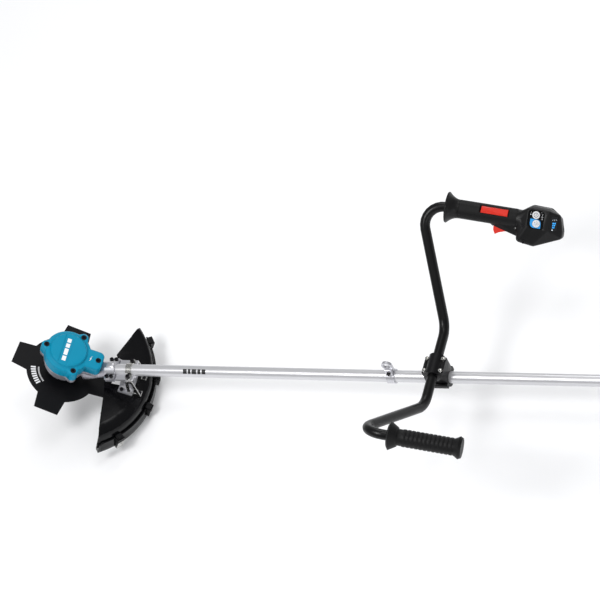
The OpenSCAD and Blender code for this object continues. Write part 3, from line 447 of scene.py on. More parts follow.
class Finishes:
    """Every finish on the machine, each made once."""

    # Injection moulded ABS: an even teal with a fine spark-eroded grain and soft highlights.
    TEAL_ABS = Finish(
        "abs_moulded_teal", "0080A0", "0087A8", 0.42, 0.05, ior=1.26, grain_mm=0.7, grain_depth_mm=0.02
    )
    # Die cast aluminium, bead blasted: light grey with a slight sparkle and no lines.
    CAST = Finish("aluminium_die_cast", "B9B8C0", "A7A6AF", 0.42, 0.10, 0.75, grain_mm=0.9, grain_depth_mm=0.05)
    # The same alloy on the bracket, tumbled brighter.
    CAST_BRIGHT = Finish("aluminium_cast_tumbled", "D3D3D7", "C2C2C8", 0.36, 0.10, 0.8, grain_mm=1.0)
    # Drawn and clear anodised tube: silvery satin with a broad highlight and fine lines.
    ANODISED = DrawnMetal(
        "aluminium_anodised_drawn", "D6D6D9", "CECED1", 0.32, 0.05, 0.6, grain_depth_mm=0.008
    )
    # Sheet steel in black electrocoat: a tight satin black, bare on the ground edges.
    BLADE = GroundBlade("steel_electrocoated_ground", "050508", "08080C", 0.46, 0.08, ior=1.30, grain_mm=1.2)
    # Glass filled polypropylene, polished mould: deep black with a wet gloss.
    GUARD = Finish(
        "polypropylene_gloss_black", "040406", "070709", 0.18, 0.05, ior=1.30, grain_mm=3.0, grain_depth_mm=0.02
    )
    # The same plastic from a blasted mould: softer black.
    CLIP = Finish("polypropylene_satin_black", "08080A", "0C0C0E", 0.34, 0.08, ior=1.32, grain_mm=0.8)
    # Glass filled nylon of the grip shells: near black, fine leathery grain, broad soft highlight.
    NYLON = Finish(
        "nylon_glass_filled_charcoal", "0D0D0E", "131314", 0.38, 0.06, ior=1.34, grain_mm=0.8, grain_depth_mm=0.05
    )
    # Soft overmould on the grip: darker and duller, with dots under the fingers.
    RUBBER = SoftRubber("rubber_overmoulded", "0A0A0B", "0F0F10", 0.50, 0.06, ior=1.32, grain_depth_mm=0.06)
    # Moulded red ABS of the controls: bright and slightly glossy.
    RED_ABS = Finish("abs_moulded_red", "CE2413", "D52B18", 0.30, 0.05, grain_mm=0.9, grain_depth_mm=0.015)
    # Zinc plated steel: bright with a faint warm and blue play.
    ZINC = Finish("steel_zinc_plated", "CFD0D2", "C4C2BA", 0.26, 0.10, 1.0, cloud_mm=8.0, grain_mm=0.6)
    # Black oxide screws: dark, oily, low sheen.
    OXIDE = Finish("steel_black_oxide", "1B1A1C", "26242A", 0.35, 0.10, 0.6, cloud_mm=6.0, grain_mm=0.5)
    # Turned and hardened steel of spindle, washers and rings.
    TURNED = TurnedMetal("steel_turned", "A9AAB0", "9A9BA2", 0.28, 0.06, 1.0, grain_depth_mm=0.02)
    # Pressed steel cup, dulled by soil.
    CUP = TurnedMetal("steel_pressed_cup", "8E8F94", "7D7C80", 0.38, 0.10, 1.0, grain_depth_mm=0.03)
    # Powder coat on the handlebar: satin black with slight orange peel.
    POWDER = Finish("powder_coat_black", "060607", "0A0A0B", 0.34, 0.06, ior=1.32, coat=0.05, grain_mm=1.6)
    # Enamelled copper wire: warm and shiny, wire by wire.
    COPPER = CopperWinding("copper_enamelled", "B4632F", "A2551F", 0.30, 0.08, 0.9, grain_depth_mm=0.15)
    # Laminated iron of the rotor: dull grey.
    IRON = Finish("iron_laminated", "74767C", "5F6067", 0.40, 0.10, 0.9, grain_mm=0.5)
    # Printed film over the panel: smooth, deep black, glossy.
    FILM = Finish(
        "polycarbonate_film_black", "030304", "050506", 0.20, 0.05, ior=1.32, grain_mm=4.0, grain_depth_mm=0.005
    )
    # Key caps: white film with a satin print.
    KEY = Finish("polycarbonate_key_white", "DADBDE", "D0D1D5", 0.32, 0.05, grain_mm=2.0, grain_depth_mm=0.01)
    # Smoked window of the display: a clear gloss over near black.
    WINDOW = Finish(
        "acrylic_smoked", "05070C", "080A10", 0.10, 0.03, coat=0.6, grain_mm=4.0, grain_depth_mm=0.004
    )
    # Green circuit board with its lacquer.
    BOARD = Finish("circuit_board_lacquered", "1F5B3A", "184A2E", 0.30, 0.08, cloud_mm=4.0, grain_mm=1.0)
    # Hard rubber of the stand foot: dull black with a coarse grain.
    FOOT = Finish(
        "rubber_hard", "0E0E0F", "151517", 0.60, 0.06, ior=1.36, grain_mm=1.1, grain_depth_mm=0.06
    )
    # Screen printed inks: flat, with a faint unevenness of the film of ink.
    WHITE_INK = Finish("ink_white", "E9EAEC", "DFE0E3", 0.45, 0.05, **INK)
    BLACK_INK = Finish("ink_black", "0B0B0D", "151517", 0.40, 0.05, **INK)
    BLUE_INK = Finish("ink_blue", "1E8FD8", "2698E0", 0.38, 0.05, **INK)
    # Symbols lit by diodes behind the window.
    BLUE_LIGHT = LitSymbol("display_segment_blue", "2F9CE8", "3AA6F0", 0.30, 0.05, cloud_mm=3.0)
    WHITE_LIGHT = LitSymbol("display_symbol_white", "DDE6EE", "E8EFF5", 0.30, 0.05, cloud_mm=3.0, glow=0.5)
    # Satin silver label foil on the battery.
    FOIL = Finish("label_foil_silver", "B9BBC0", "AEB0B6", 0.34, 0.08, 0.7, cloud_mm=12.0, grain_mm=0.5)

    made: dict[str, bpy.types.Material] = {}

    @classmethod
    def get(cls, finish: Finish) -> bpy.types.Material:
        """The material of a finish, made on first use."""
        if finish.name not in cls.made:
            cls.made[finish.name] = finish.make()
        return cls.made[finish.name]


# ---------- bench ----------


class Bench:
    """Models pieces with operators in a sub-assembly's own frame and hands them over finished."""

    # points of a CAD node's mesh closer than this are the same point
    merge_gap = 1e-6

    def __init__(self, at: Matrix) -> None:
        """Work in the frame at, given in the machine's frame."""
        self.at = at

    @staticmethod
    def clear() -> None:
        """Deselect everything, so that an operator acts on the new piece only."""
        if bpy.context.object and bpy.context.object.mode != "OBJECT":
            bpy.ops.object.mode_set(mode="OBJECT")
        bpy.ops.object.select_all(action="DESELECT")

    @staticmethod
    def pick(obj: bpy.types.Object, part: str, keep) -> None:
        """Select the faces, edges or vertices that a test keeps, in edit mode.

        Args:
            obj: The piece, in edit mode.
            part: "FACE", "EDGE" or "VERT".
            keep: Test of a face, edge or vertex.
        """
        bpy.ops.mesh.select_mode(type=part)
        bpy.ops.mesh.select_all(action="DESELECT")
        mesh = bmesh.from_edit_mesh(obj.data)
        for item in {"FACE": mesh.faces, "EDGE": mesh.edges, "VERT": mesh.verts}[part]:
            item.select_set(bool(keep(item)))
        mesh.select_flush_mode()
        bmesh.update_edit_mesh(obj.data)

    def block(
        self,
        x: tuple[float, float],
        y: tuple[float, float],
        z: tuple[float, float],
        bevel: float = 0.0,
        steps: int = 1,
    ) -> bpy.types.Object:
        """A block with its edges rounded.

        Args:
            x: Its span along X, in millimetres.
            y: Its span along Y.
            z: Its span along Z.
            bevel: Radius of the edges, in millimetres.
            steps: Segments of each rounded edge.

        Returns:
            The block, in object mode.
        """
        self.clear()
        low, high = (Vector(corner) * MM for corner in zip(x, y, z))
        bpy.ops.mesh.primitive_cube_add(size=1, location=(low + high) / 2, scale=high - low)
        obj = bpy.context.object
        bpy.ops.object.transform_apply(location=True, rotation=True, scale=True)
        if bevel:
            bpy.ops.object.mode_set(mode="EDIT")
            bpy.ops.mesh.select_all(action="SELECT")
            bpy.ops.mesh.bevel(offset=bevel * MM, segments=steps, affect="EDGES")
            bpy.ops.object.mode_set(mode="OBJECT")
        return obj

    def disc(
        self, radius: float, z: tuple[float, float], bevel: float = 0.0, sides: int = 48
    ) -> bpy.types.Object:
        """A round disc about Z, with its upper rim rounded.

        Args:
            radius: Outer radius, in millimetres.
            z: Its span along Z.
            bevel: Radius of the upper rim.
            sides: Sides of the circle.

        Returns:
            The disc, in object mode.
        """
        self.clear()
        low, high = z[0] * MM, z[1] * MM
        bpy.ops.mesh.primitive_cylinder_add(
            vertices=sides, radius=radius * MM, depth=high - low, location=(0, 0, (low + high) / 2)
        )
        obj = bpy.context.object
        bpy.ops.object.transform_apply(location=True, rotation=True, scale=True)
        if bevel:
            bpy.ops.object.mode_set(mode="EDIT")
            self.pick(obj, "EDGE", lambda e: all(v.co.z > high - 1e-7 for v in e.verts))
            bpy.ops.mesh.bevel(offset=bevel * MM, segments=2, affect="EDGES")
            bpy.ops.object.mode_set(mode="OBJECT")
        return obj

    def ring(self, outer: float, inner: float, z: tuple[float, float], sides: int = 48) -> bpy.types.Object:
        """A flat ring about Z, inset from a disc and bridged through.

        Args:
            outer: Outer radius, in millimetres.
            inner: Radius of the hole.
            z: Its span along Z.
            sides: Sides of the circle.

        Returns:
            The ring, in object mode.
        """
        obj = self.disc(outer, z, sides=sides)
        bpy.ops.object.mode_set(mode="EDIT")
        self.pick(obj, "FACE", lambda f: abs(f.normal.z) > 0.9)
        # a regular polygon's inset moves its sides, so the corner distance is scaled to them
        wall = (outer - inner) * MM * math.cos(math.pi / sides)
        bpy.ops.mesh.inset(thickness=wall, use_individual=True)
        bpy.ops.mesh.bridge_edge_loops()
        bpy.ops.object.mode_set(mode="OBJECT")
        return obj

    def plate(
        self,
        x: tuple[float, float],
        y: tuple[float, float],
        z: tuple[float, float],
        corners: dict[tuple[int, int], float],
    ) -> bpy.types.Object:
        """A thin plate in XY whose named corners are rounded.

        Args:
            x: Its span along X, in millimetres.
            y: Its span along Y.
            z: Its span along Z.
            corners: Radius for each rounded corner, keyed by the signs of its x and y.

        Returns:
            The plate, in object mode.
        """
        obj = self.block(x, y, z)
        for (sx, sy), radius in corners.items():
            # the upright edge at this corner
            corner_x, corner_y = x[sx > 0] * MM, y[sy > 0] * MM
            bpy.ops.object.mode_set(mode="EDIT")
            self.pick(
                obj,
                "EDGE",
                lambda e: all(abs(v.co.x - corner_x) + abs(v.co.y - corner_y) < 1e-6 for v in e.verts),
            )
            bpy.ops.mesh.bevel(offset=radius * MM, segments=8, affect="EDGES")
            bpy.ops.object.mode_set(mode="OBJECT")
        return obj

    def text(self, words: str, size: float, depth: float) -> bpy.types.Object:
        """Plain digits as a thin solid in XY, centred, with its underside at zero.

        Args:
            words: The digits.
            size: Height of the type, in millimetres.
            depth: Thickness.

        Returns:
            The digits as a mesh.
        """
        self.clear()
        bpy.ops.object.text_add()
        obj = bpy.context.object
        obj.data.body = words
        obj.data.size = size * MM
        obj.data.extrude = depth / 2 * MM
        obj.data.align_x, obj.data.align_y = "CENTER", "CENTER"
        bpy.ops.object.convert(target="MESH")
        return bpy.context.object

    def place(self, obj: bpy.types.Object, at: Matrix) -> bpy.types.Object:
        """Move a piece within the bench's frame and apply the move.

        Args:
            obj: The piece.
            at: Where it goes.

        Returns:
            The same piece.
        """
        self.clear()
        obj.select_set(True)
        bpy.context.view_layer.objects.active = obj
        obj.matrix_world = at
        bpy.ops.object.transform_apply(location=True, rotation=True, scale=True)
        return obj

    def copy(self, obj: bpy.types.Object, at: Matrix) -> bpy.types.Object:
        """A copy of a piece with its own mesh, moved within the bench's frame.

        Args:
            obj: The piece to copy.
            at: Where the copy goes.

        Returns:
            The copy.
        """
        self.clear()
        obj.select_set(True)
        bpy.context.view_layer.objects.active = obj
        bpy.ops.object.duplicate(linked=False)
        return self.place(bpy.context.object, at)

    def join(self, pieces: list[bpy.types.Object]) -> bpy.types.Object:
        """Join several solids into one object.

        Args:
            pieces: The solids.

        Returns:
            The joined object.
        """
        self.clear()
        for piece in pieces:
            piece.select_set(True)
        bpy.context.view_layer.objects.active = pieces[0]
        bpy.ops.object.join()
        return bpy.context.object

    def skin(self, node: str, finish: Finish, angle: float) -> bpy.types.Object:
        """Stand a merged copy in for a CAD node, so that its rounded faces shade smoothly.

        Args:
            node: The CAD node.
            finish: The finish of the copy.
            angle: Edges sharper than this many degrees stay sharp.

        Returns:
            The copy, which rides on the node's own body.
        """
        source = bpy.data.objects[node]
        self.clear()
        mesh = source.data.copy()
        obj = bpy.data.objects.new(f"{node}_skin", mesh)
        bpy.context.scene.collection.objects.link(obj)
        obj.matrix_world = source.matrix_world.copy()
        obj.select_set(True)
        bpy.context.view_layer.objects.active = obj
        bpy.ops.object.transform_apply(location=True, rotation=True, scale=True)
        bpy.ops.object.mode_set(mode="EDIT")
        bpy.ops.mesh.select_all(action="SELECT")
        bpy.ops.mesh.remove_doubles(threshold=self.merge_gap)
        bpy.ops.object.mode_set(mode="OBJECT")
        bpy.ops.object.shade_smooth_by_angle(angle=math.radians(angle))
        weigh = obj.modifiers.new("weigh", "WEIGHTED_NORMAL")
        weigh.keep_sharp = True
        bpy.ops.object.modifier_apply(modifier=weigh.name)
        obj.data.materials.clear()
        obj.data.materials.append(Finishes.get(finish))
        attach(obj, body_of(source)[0])
        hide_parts(node)
        log.info("%s stands in for %s in %s", obj.name, node, finish.name)
        return obj

    def hand_over(
        self, obj: bpy.types.Object, name: str, body: str, finish: Finish, angle: float = 32.0
    ) -> bpy.types.Object:
        """Put a finished piece into the machine.

        Args:
            obj: The piece, in the bench's frame.
            name: Its name.
            body: The body it rides on.
            finish: Its finish.
            angle: Edges sharper than this many degrees stay sharp.

        Returns:
            The piece, in the machine's frame.
        """
        self.place(obj, self.at)
        obj.name = obj.data.name = name
        bpy.ops.object.mode_set(mode="EDIT")
        bpy.ops.mesh.select_all(action="SELECT")
        bpy.ops.mesh.normals_make_consistent(inside=False)
        bpy.ops.object.mode_set(mode="OBJECT")
        bpy.ops.object.shade_smooth_by_angle(angle=math.radians(angle))
        obj.data.materials.clear()
        obj.data.materials.append(Finishes.get(finish))
        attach(obj, body)
        log.info("%s rides on %s, %d faces", name, body, len(obj.data.polygons))
        return obj


@dataclass
class SubAssembly:
    """A group of CAD nodes with the finishes they wear and the small pieces added to them."""

    # CAD nodes shown through a smooth skin, each with the angle that stays sharp
    smooth: dict[str, float] = field(default_factory=dict)

    def finishes(self) -> dict[str, Finish]:
        """The finish of each CAD node of the group."""
        return {}

    def detail(self) -> None:
        """Model the pieces that the CAD leaves out."""

    def build(self) -> None:
        """Dress the CAD nodes, then model the detail."""
        bench = Bench(Matrix.Identity(4))
        for node, finish in self.finishes().items():
            obj = bpy.data.objects[node]
            obj.data.materials.clear()
            obj.data.materials.append(Finishes.get(finish))
            log.info("%s wears %s", node, finish.name)
            if node in self.smooth:
                bench.skin(node, finish, self.smooth[node])
        self.detail()


# ---------- the machine's own frames ----------

# centre of the hanger's eye, from the point where the shaft and motor axes meet
HOOK = Vector((790, 0, 40)) * MM


def machine_frame(*turns: Matrix) -> Matrix:
    """The frame reached by turns and moves from the crossing of shaft and motor axes."""
    at = Matrix.Translation(-HOOK)
    for turn in turns:
        at = at @ turn
    return at


def shift(x: float, y: float, z: float) -> Matrix:
    """A move given in millimetres."""
    return Matrix.Translation(Vector((x, y, z)) * MM)


def turned(degrees: float, axis: str) -> Matrix:
    """A turn in degrees about an axis."""
    return Matrix.Rotation(math.radians(degrees), 4, axis)


# ---------- sub-assemblies ----------

# span of a printed mark above and below the face under it, its edge radius, and how deep a mark
# that stands on its underside is sunk into the face
PRINT = (-0.05, 0.12)
PRINT_BEVEL = 0.05
PRINT_SUNK = 0.05


@dataclass
class CuttingHead(SubAssembly):
    """Motor housing with its cover, the neck and what turns with the blade."""

    smooth: dict[str, float] = field(
        default_factory=lambda: {
            "motor_cover": 38.0, "motor_housing": 38.0, "neck_clamp": 38.0, "spindle": 30.0, "cup": 30.0
        }
    )
    at = machine_frame(turned(math.degrees(HEAD_TILT), "Y"), shift(0, 0, -6))
    ear_place_r: float = 50.0
    ear_angles: tuple[float, ...] = (180.0, 62.0, -62.0)
    lobe_screw_u: float = 69.0
    cover_top: float = 88.0
    recess_r: float = 5.2
    band_u: float = -4.5
    band_h: float = 93.8
    lobe_mark_u: float = 52.0
    blade_top: float = 0.9
    # how far past the recess, and how wide a hole, the black rings of painted shade in the screw recesses reach
    shade_ring_rim: float = 0.9
    shade_ring_hole: float = 3.9
    # middle and length of each bar on the cap, and the length of each stroke on the lobe
    band_bars: tuple[tuple[float, float], ...] = ((-24, 12), (-7, 16), (9, 10), (22, 10))
    lobe_strokes: tuple[float, ...] = (7.0, 5.0, 8.0)
    # count, inner and outer radius, half width and angle step of each row of bars on the blade:
    # a broad row in place of a name, and a fine row inside it in place of the size
    blade_rows: tuple[tuple, ...] = ((8, 60.0, 71.0, 1.8, 5.0), (14, 52.0, 55.5, 0.7, 2.9))
    blade_print_from: float = 194.0

    def finishes(self) -> dict[str, Finish]:
        """The finish of each node of the head."""
        return {
            "motor_cover": Finishes.TEAL_ABS,
            "cover_screws": Finishes.OXIDE,
            "motor_housing": Finishes.CAST,
            "motor_stator": Finishes.COPPER,
            "upper_bearing": Finishes.TURNED,
            "lower_bearing": Finishes.TURNED,
            "dust_ring": Finishes.TURNED,
            "rotor": Finishes.IRON,
            "spindle": Finishes.TURNED,
            "receiver_washer": Finishes.TURNED,
            "blade": Finishes.BLADE,
            "clamp_washer": Finishes.TURNED,
            "cup": Finishes.CUP,
            "blade_nut": Finishes.ZINC,
            "neck_clamp": Finishes.CAST_BRIGHT,
            "neck_bolts": Finishes.OXIDE,
        }

    def detail(self) -> None:
        """Black rings that paint shade in the screw recesses, the printed bars on the cover and the marks on the
        blade.
        """
        self.paint_recess_shade()
        self.cover_bars()
        self.blade_marks()

    def paint_recess_shade(self) -> None:
        """A black ring over each screw recess, painted shade where the hollow falls dark."""
        bench = Bench(self.at)
        # a black ring paints the shade in each screw recess
        first = bench.ring(
            self.recess_r + self.shade_ring_rim, self.shade_ring_hole, (self.cover_top - 1.6, self.cover_top + 0.35)
        )
        ear = shift(self.ear_place_r, 0, 0)
        places = [turned(a, "Z") @ ear @ turned(-a, "Z") for a in self.ear_angles]
        places.append(shift(self.lobe_screw_u, 0, 0))
        for i, at in enumerate(places):
            bench.hand_over(bench.copy(first, at), f"recess_shade_ring_{i + 1}", "machine", Finishes.OXIDE)
        bpy.data.objects.remove(first)

    def cover_bars(self) -> None:
        """Bars printed in the band across the cap and strokes on the lobe, in place of any mark."""
        bench = Bench(self.at)
        bars = []
        for v, length in self.band_bars:
            bar = bench.block((-4.4, 4.4), (v - length / 2, v + length / 2), (0, 0.22), 0.1)
            bars.append(bench.place(bar, shift(self.band_u, 0, self.band_h - PRINT_SUNK)))
        bench.hand_over(bench.join(bars), "cover_print_bars", "machine", Finishes.WHITE_INK)
        strokes = []
        for i, length in enumerate(self.lobe_strokes):
            stroke = bench.block((-length / 2, length / 2), (-0.45, 0.45), (0, 0.2), 0.1)
            place = shift(self.lobe_mark_u, -4.0 + 2.6 * i, self.cover_top - PRINT_SUNK)
            strokes.append(bench.place(stroke, place @ turned(62, "Z")))
        bench.hand_over(bench.join(strokes), "cover_print_strokes", "machine", Finishes.WHITE_INK)

    def blade_marks(self) -> None:
        """Two printed rows of bars on the blade, in place of its name and size."""
        bench = Bench(self.at)
        parts = []
        for count, near, far, half, step in self.blade_rows:
            for i in range(count):
                bar = bench.block((near, far), (-half, half), (0, 0.12), PRINT_BEVEL)
                turn = self.blade_print_from + step * i
                parts.append(bench.place(bar, shift(0, 0, self.blade_top - 0.02) @ turned(turn, "Z")))
        bench.hand_over(bench.join(parts), "blade_print_bars", "cutter", Finishes.WHITE_INK)


@dataclass
class Guard(SubAssembly):
    """Debris guard with its skirt, clips, bracket, strap and stays."""

    smooth: dict[str, float] = field(
        default_factory=lambda: {"guard": 30.0, "guard_skirt": 30.0, "guard_bracket": 30.0, "guard_stay": 30.0}
    )

    def finishes(self) -> dict[str, Finish]:
        """The finish of each node of the guard."""
        return {
            "guard": Finishes.GUARD,
            "guard_skirt": Finishes.GUARD,
            "guard_clips": Finishes.CLIP,
            "line_cutter": Finishes.ZINC,
            "guard_bracket": Finishes.CAST_BRIGHT,
            "guard_saddle": Finishes.ZINC,
            "guard_bolts": Finishes.OXIDE,
            "guard_stay": Finishes.ZINC,
        }


@dataclass
class ShaftAndBar(SubAssembly):
    """Shaft tube, harness hanger, handlebar with its clamp, and the left grip."""

    smooth: dict[str, float] = field(
        default_factory=lambda: {
            "main_pipe": 30.0, "hanger": 30.0, "handle_base": 30.0, "handle_cap": 30.0, "handlebar": 40.0,
            "left_grip": 35.0,
        }
    )
    at = machine_frame()
    # the strips' undersides, just inside the tube
    tube_r: float = 12.96
    # the print starts here along the tube, and faces up and forward
    print_x: float = 300.0
    print_turn: float = 16.0
    print_strips: int = 6
    print_lengths: tuple[float, ...] = (9.0, 6.0, 11.0, 7.0, 9.0)
    print_gap: float = 3.0
    # each bar wraps the tube as flat strips side by side
    strip_half: float = 0.95
    strip_turn: float = 7.8

    def finishes(self) -> dict[str, Finish]:
        """The finish of each node along the shaft."""
        return {
            "main_pipe": Finishes.ANODISED,
            "hanger": Finishes.CAST_BRIGHT,
            "hanger_bolt": Finishes.OXIDE,
            "handle_base": Finishes.CLIP,
            "handle_cap": Finishes.CLIP,
            "handle_bolts": Finishes.ZINC,
            "handlebar": Finishes.POWDER,
            "left_grip": Finishes.RUBBER,
        }

    def detail(self) -> None:
        """Black bars printed on the tube, in place of any name."""
        bench = Bench(self.at)
        strips = []
        x = self.print_x
        for length in self.print_lengths:
            for i in range(self.print_strips):
                strip = bench.block(
                    (0, length), (-self.strip_half, self.strip_half), (0, 0.14), PRINT_BEVEL
                )
                turn = self.print_turn + self.strip_turn * i
                at = shift(x, 0, 0) @ turned(turn, "X") @ shift(0, 0, self.tube_r)
                strips.append(bench.place(strip, at))
            x += length + self.print_gap
        bench.hand_over(bench.join(strips), "tube_print_bars", "machine", Finishes.BLACK_INK)


@dataclass
class ControlGrip(SubAssembly):
    """Right grip with its trigger, lock-off lever, control panel and display."""

    smooth: dict[str, float] = field(
        default_factory=lambda: {
            "grip_collar": 32.0, "grip_shell_inner": 35.0, "grip_shell_outer": 35.0, "grip_overmould": 32.0,
            "trigger": 24.0,
        }
    )
    at = machine_frame(shift(940, 290, 210), turned(15, "Y"), turned(-50, "X"))
    panel_face: float = 29.12
    power_at: tuple[float, float] = (169.5, 16.5)
    reverse_at: tuple[float, float] = (172.0, -1.5)
    key_top: float = 30.3
    # centre of the housing's rounded edge under the display, and the edge's radius
    display_at: tuple[float, float, float] = (203.5, -14.0, 3.0)
    bulb_round: float = 9.0
    display_turn: float = 35.2
    display_lean: float = -3.0
    window_high: float = 0.32
    digits: tuple[str, ...] = ("3", "2", "1")
    # the digits' place on the panel, and the pitch and bar widths of the display
    steps_x: float = 183.0
    sign_pitch: float = 4.4
    bar_halves: tuple[float, ...] = (3.0, 2.4, 1.8)

    def finishes(self) -> dict[str, Finish]:
        """The finish of each node of the grip."""
        return {
            "grip_collar": Finishes.NYLON,
            "grip_shell_inner": Finishes.NYLON,
            "grip_shell_outer": Finishes.NYLON,
            "grip_overmould": Finishes.RUBBER,
            "trigger": Finishes.RED_ABS,
            "trigger_pin": Finishes.ZINC,
            "trigger_switch": Finishes.CLIP,
            "lock_off_lever": Finishes.RED_ABS,
            "lever_pin": Finishes.ZINC,
            "control_panel": Finishes.FILM,
            "power_button": Finishes.KEY,
            "reverse_button": Finishes.KEY,
            "display_window": Finishes.WINDOW,
            "grip_screws": Finishes.OXIDE,
        }

    def on_face(self, x: float, z: float, height: float) -> Matrix:
        """The frame of the panel's face at x along the grip and z across it, with Z outwards."""
        return shift(x, -height, z) @ turned(90, "X")

    def on_display(self, x: float, z: float) -> Matrix:
        """The frame of the display's face, x along its width and z along its length, with Z outwards."""
        out = turned(self.display_turn, "Z")
        seat = shift(*self.display_at) @ out @ shift(0, -self.bulb_round, 0)
        return seat @ turned(self.display_lean, "Y") @ shift(x, -self.window_high, z) @ turned(90, "X")

    def detail(self) -> None:
        """Printed and lit symbols of the panel and the display."""
        self.power_symbols()
        self.reverse_symbols()
        self.panel_prints()
        self.display_symbols()

    def power_symbols(self) -> None:
        """Black ring and bar on the power button."""
        bench = Bench(self.at)
        at = self.on_face(*self.power_at, self.key_top)
        ring = bench.place(bench.ring(5.0, 4.0, PRINT), at)
        bar = bench.place(bench.block((-0.55, 0.55), (-2.4, 2.4), PRINT, PRINT_BEVEL), at)
        bench.hand_over(bench.join([ring, bar]), "power_print", "power_button", Finishes.BLACK_INK)

    def reverse_symbols(self) -> None:
        """A dividing line with a dash and a ring on one side, and a dot and a ring on the other."""
        bench = Bench(self.at)
        at = self.on_face(*self.reverse_at, self.key_top)
        line = bench.place(bench.block((-0.2, 0.2), (-6.6, 6.6), PRINT, 0.04), at)
        dash = bench.place(bench.block((-4.6, -2.2), (1.8, 2.7), PRINT, 0.04), at)
        dot = bench.place(bench.disc(0.55, PRINT, sides=16), at @ shift(3.2, 3.4, 0))
        bench.hand_over(bench.join([line, dash, dot]), "reverse_print", "reverse_button", Finishes.BLACK_INK)
        ring = bench.ring(1.9, 1.5, PRINT, 24)
        left = bench.copy(ring, at @ shift(-3.2, -1.6, 0))
        bench.hand_over(left, "reverse_print_ring", "reverse_button", Finishes.BLUE_INK)
        right = bench.place(ring, at @ shift(3.3, -0.8, 0))
        bench.hand_over(right, "reverse_print_turn", "reverse_button", Finishes.BLACK_INK)

    def panel_prints(self) -> None:
        """The blue leaf round the reverse button and the step marks by the power button."""
        bench = Bench(self.at)
        at = self.on_face(*self.reverse_at, self.panel_face)
        leaf = bench.plate((-13.5, 9.6), (-9.6, 9.2), (-0.05, 0.10), {(-1, -1): 9.0, (1, 1): 9.0})
        self.cut_away(leaf, bench.disc(8.6, (-1, 1), sides=64))
        bench.hand_over(bench.place(leaf, at), "panel_print_leaf", "handlebar_set", Finishes.BLUE_INK)
        steps = []
        for i, digit in enumerate(reversed(self.digits)):
            place = self.on_face(self.steps_x, 19.5 - 5.2 * i, self.panel_face)
            steps.append(bench.place(bench.text(digit, 4.6, 0.12), place @ turned(-90, "Z")))
        # slashes between the digits, then fine lines that lead from the power button to its marks:
        # place, half length and turn
        for x, z, half, turn in (
            (self.steps_x, 16.9, 1.3, -20),
            (self.steps_x, 11.7, 1.3, -20),
            (159.4, 21.6, 1.2, 0),
            (158.2, 20.2, 1.4, 90),
            (180.4, 23.0, 1.3, 0),
        ):
            line = bench.block((-half, half), (-0.14, 0.14), (-0.05, 0.1), 0.03)
            steps.append(bench.place(line, self.on_face(x, z, self.panel_face) @ turned(turn, "Z")))
        bench.hand_over(bench.join(steps), "panel_print_steps", "handlebar_set", Finishes.WHITE_INK)
        lamp = bench.place(
            bench.disc(0.9, (-0.1, 0.35), 0.15, 20), self.on_face(158.0, 16.5, self.panel_face)
        )
        bench.hand_over(lamp, "panel_lamp", "handlebar_set", Finishes.WHITE_LIGHT)

    def display_symbols(self) -> None:
        """Lit bars, digits and a triangle on the display window."""
        bench = Bench(self.at)
        bars = []
        for i, half in enumerate(self.bar_halves):
            for j in range(2):
                bar = bench.block((0, half), (-1.5, 1.5), PRINT, PRINT_BEVEL)
                at = self.on_display(-3.6 + j * (half + 1.2), 1.0 - self.sign_pitch * i)
                bars.append(bench.place(bar, at))
        bench.hand_over(bench.join(bars), "display_bars", "handlebar_set", Finishes.BLUE_LIGHT)
        signs = []
        for i, digit in enumerate(self.digits):
            at = self.on_display(4.6 - self.sign_pitch * i, 8.2) @ turned(-90, "Z")
            signs.append(bench.place(bench.text(digit, 3.6, 0.12), at))
        bench.clear()
        bpy.ops.mesh.primitive_cylinder_add(vertices=3, radius=2.0 * MM, depth=0.16 * MM)
        signs.append(bench.place(bpy.context.object, self.on_display(-3.4, -13.2)))
        bench.hand_over(bench.join(signs), "display_signs", "handlebar_set", Finishes.WHITE_LIGHT)

    @staticmethod
    def cut_away(obj: bpy.types.Object, tool: bpy.types.Object) -> None:
        """Cut a tool's volume out of a piece and drop the tool.

        Args:
            obj: The piece.
            tool: The solid that is cut away.
        """
        Bench.clear()
        obj.select_set(True)
        bpy.context.view_layer.objects.active = obj
        cut = obj.modifiers.new("cut", "BOOLEAN")
        cut.object = tool
        cut.operation = "DIFFERENCE"
        cut.solver = "EXACT"
        bpy.ops.object.modifier_apply(modifier=cut.name)
        bpy.data.objects.remove(tool)


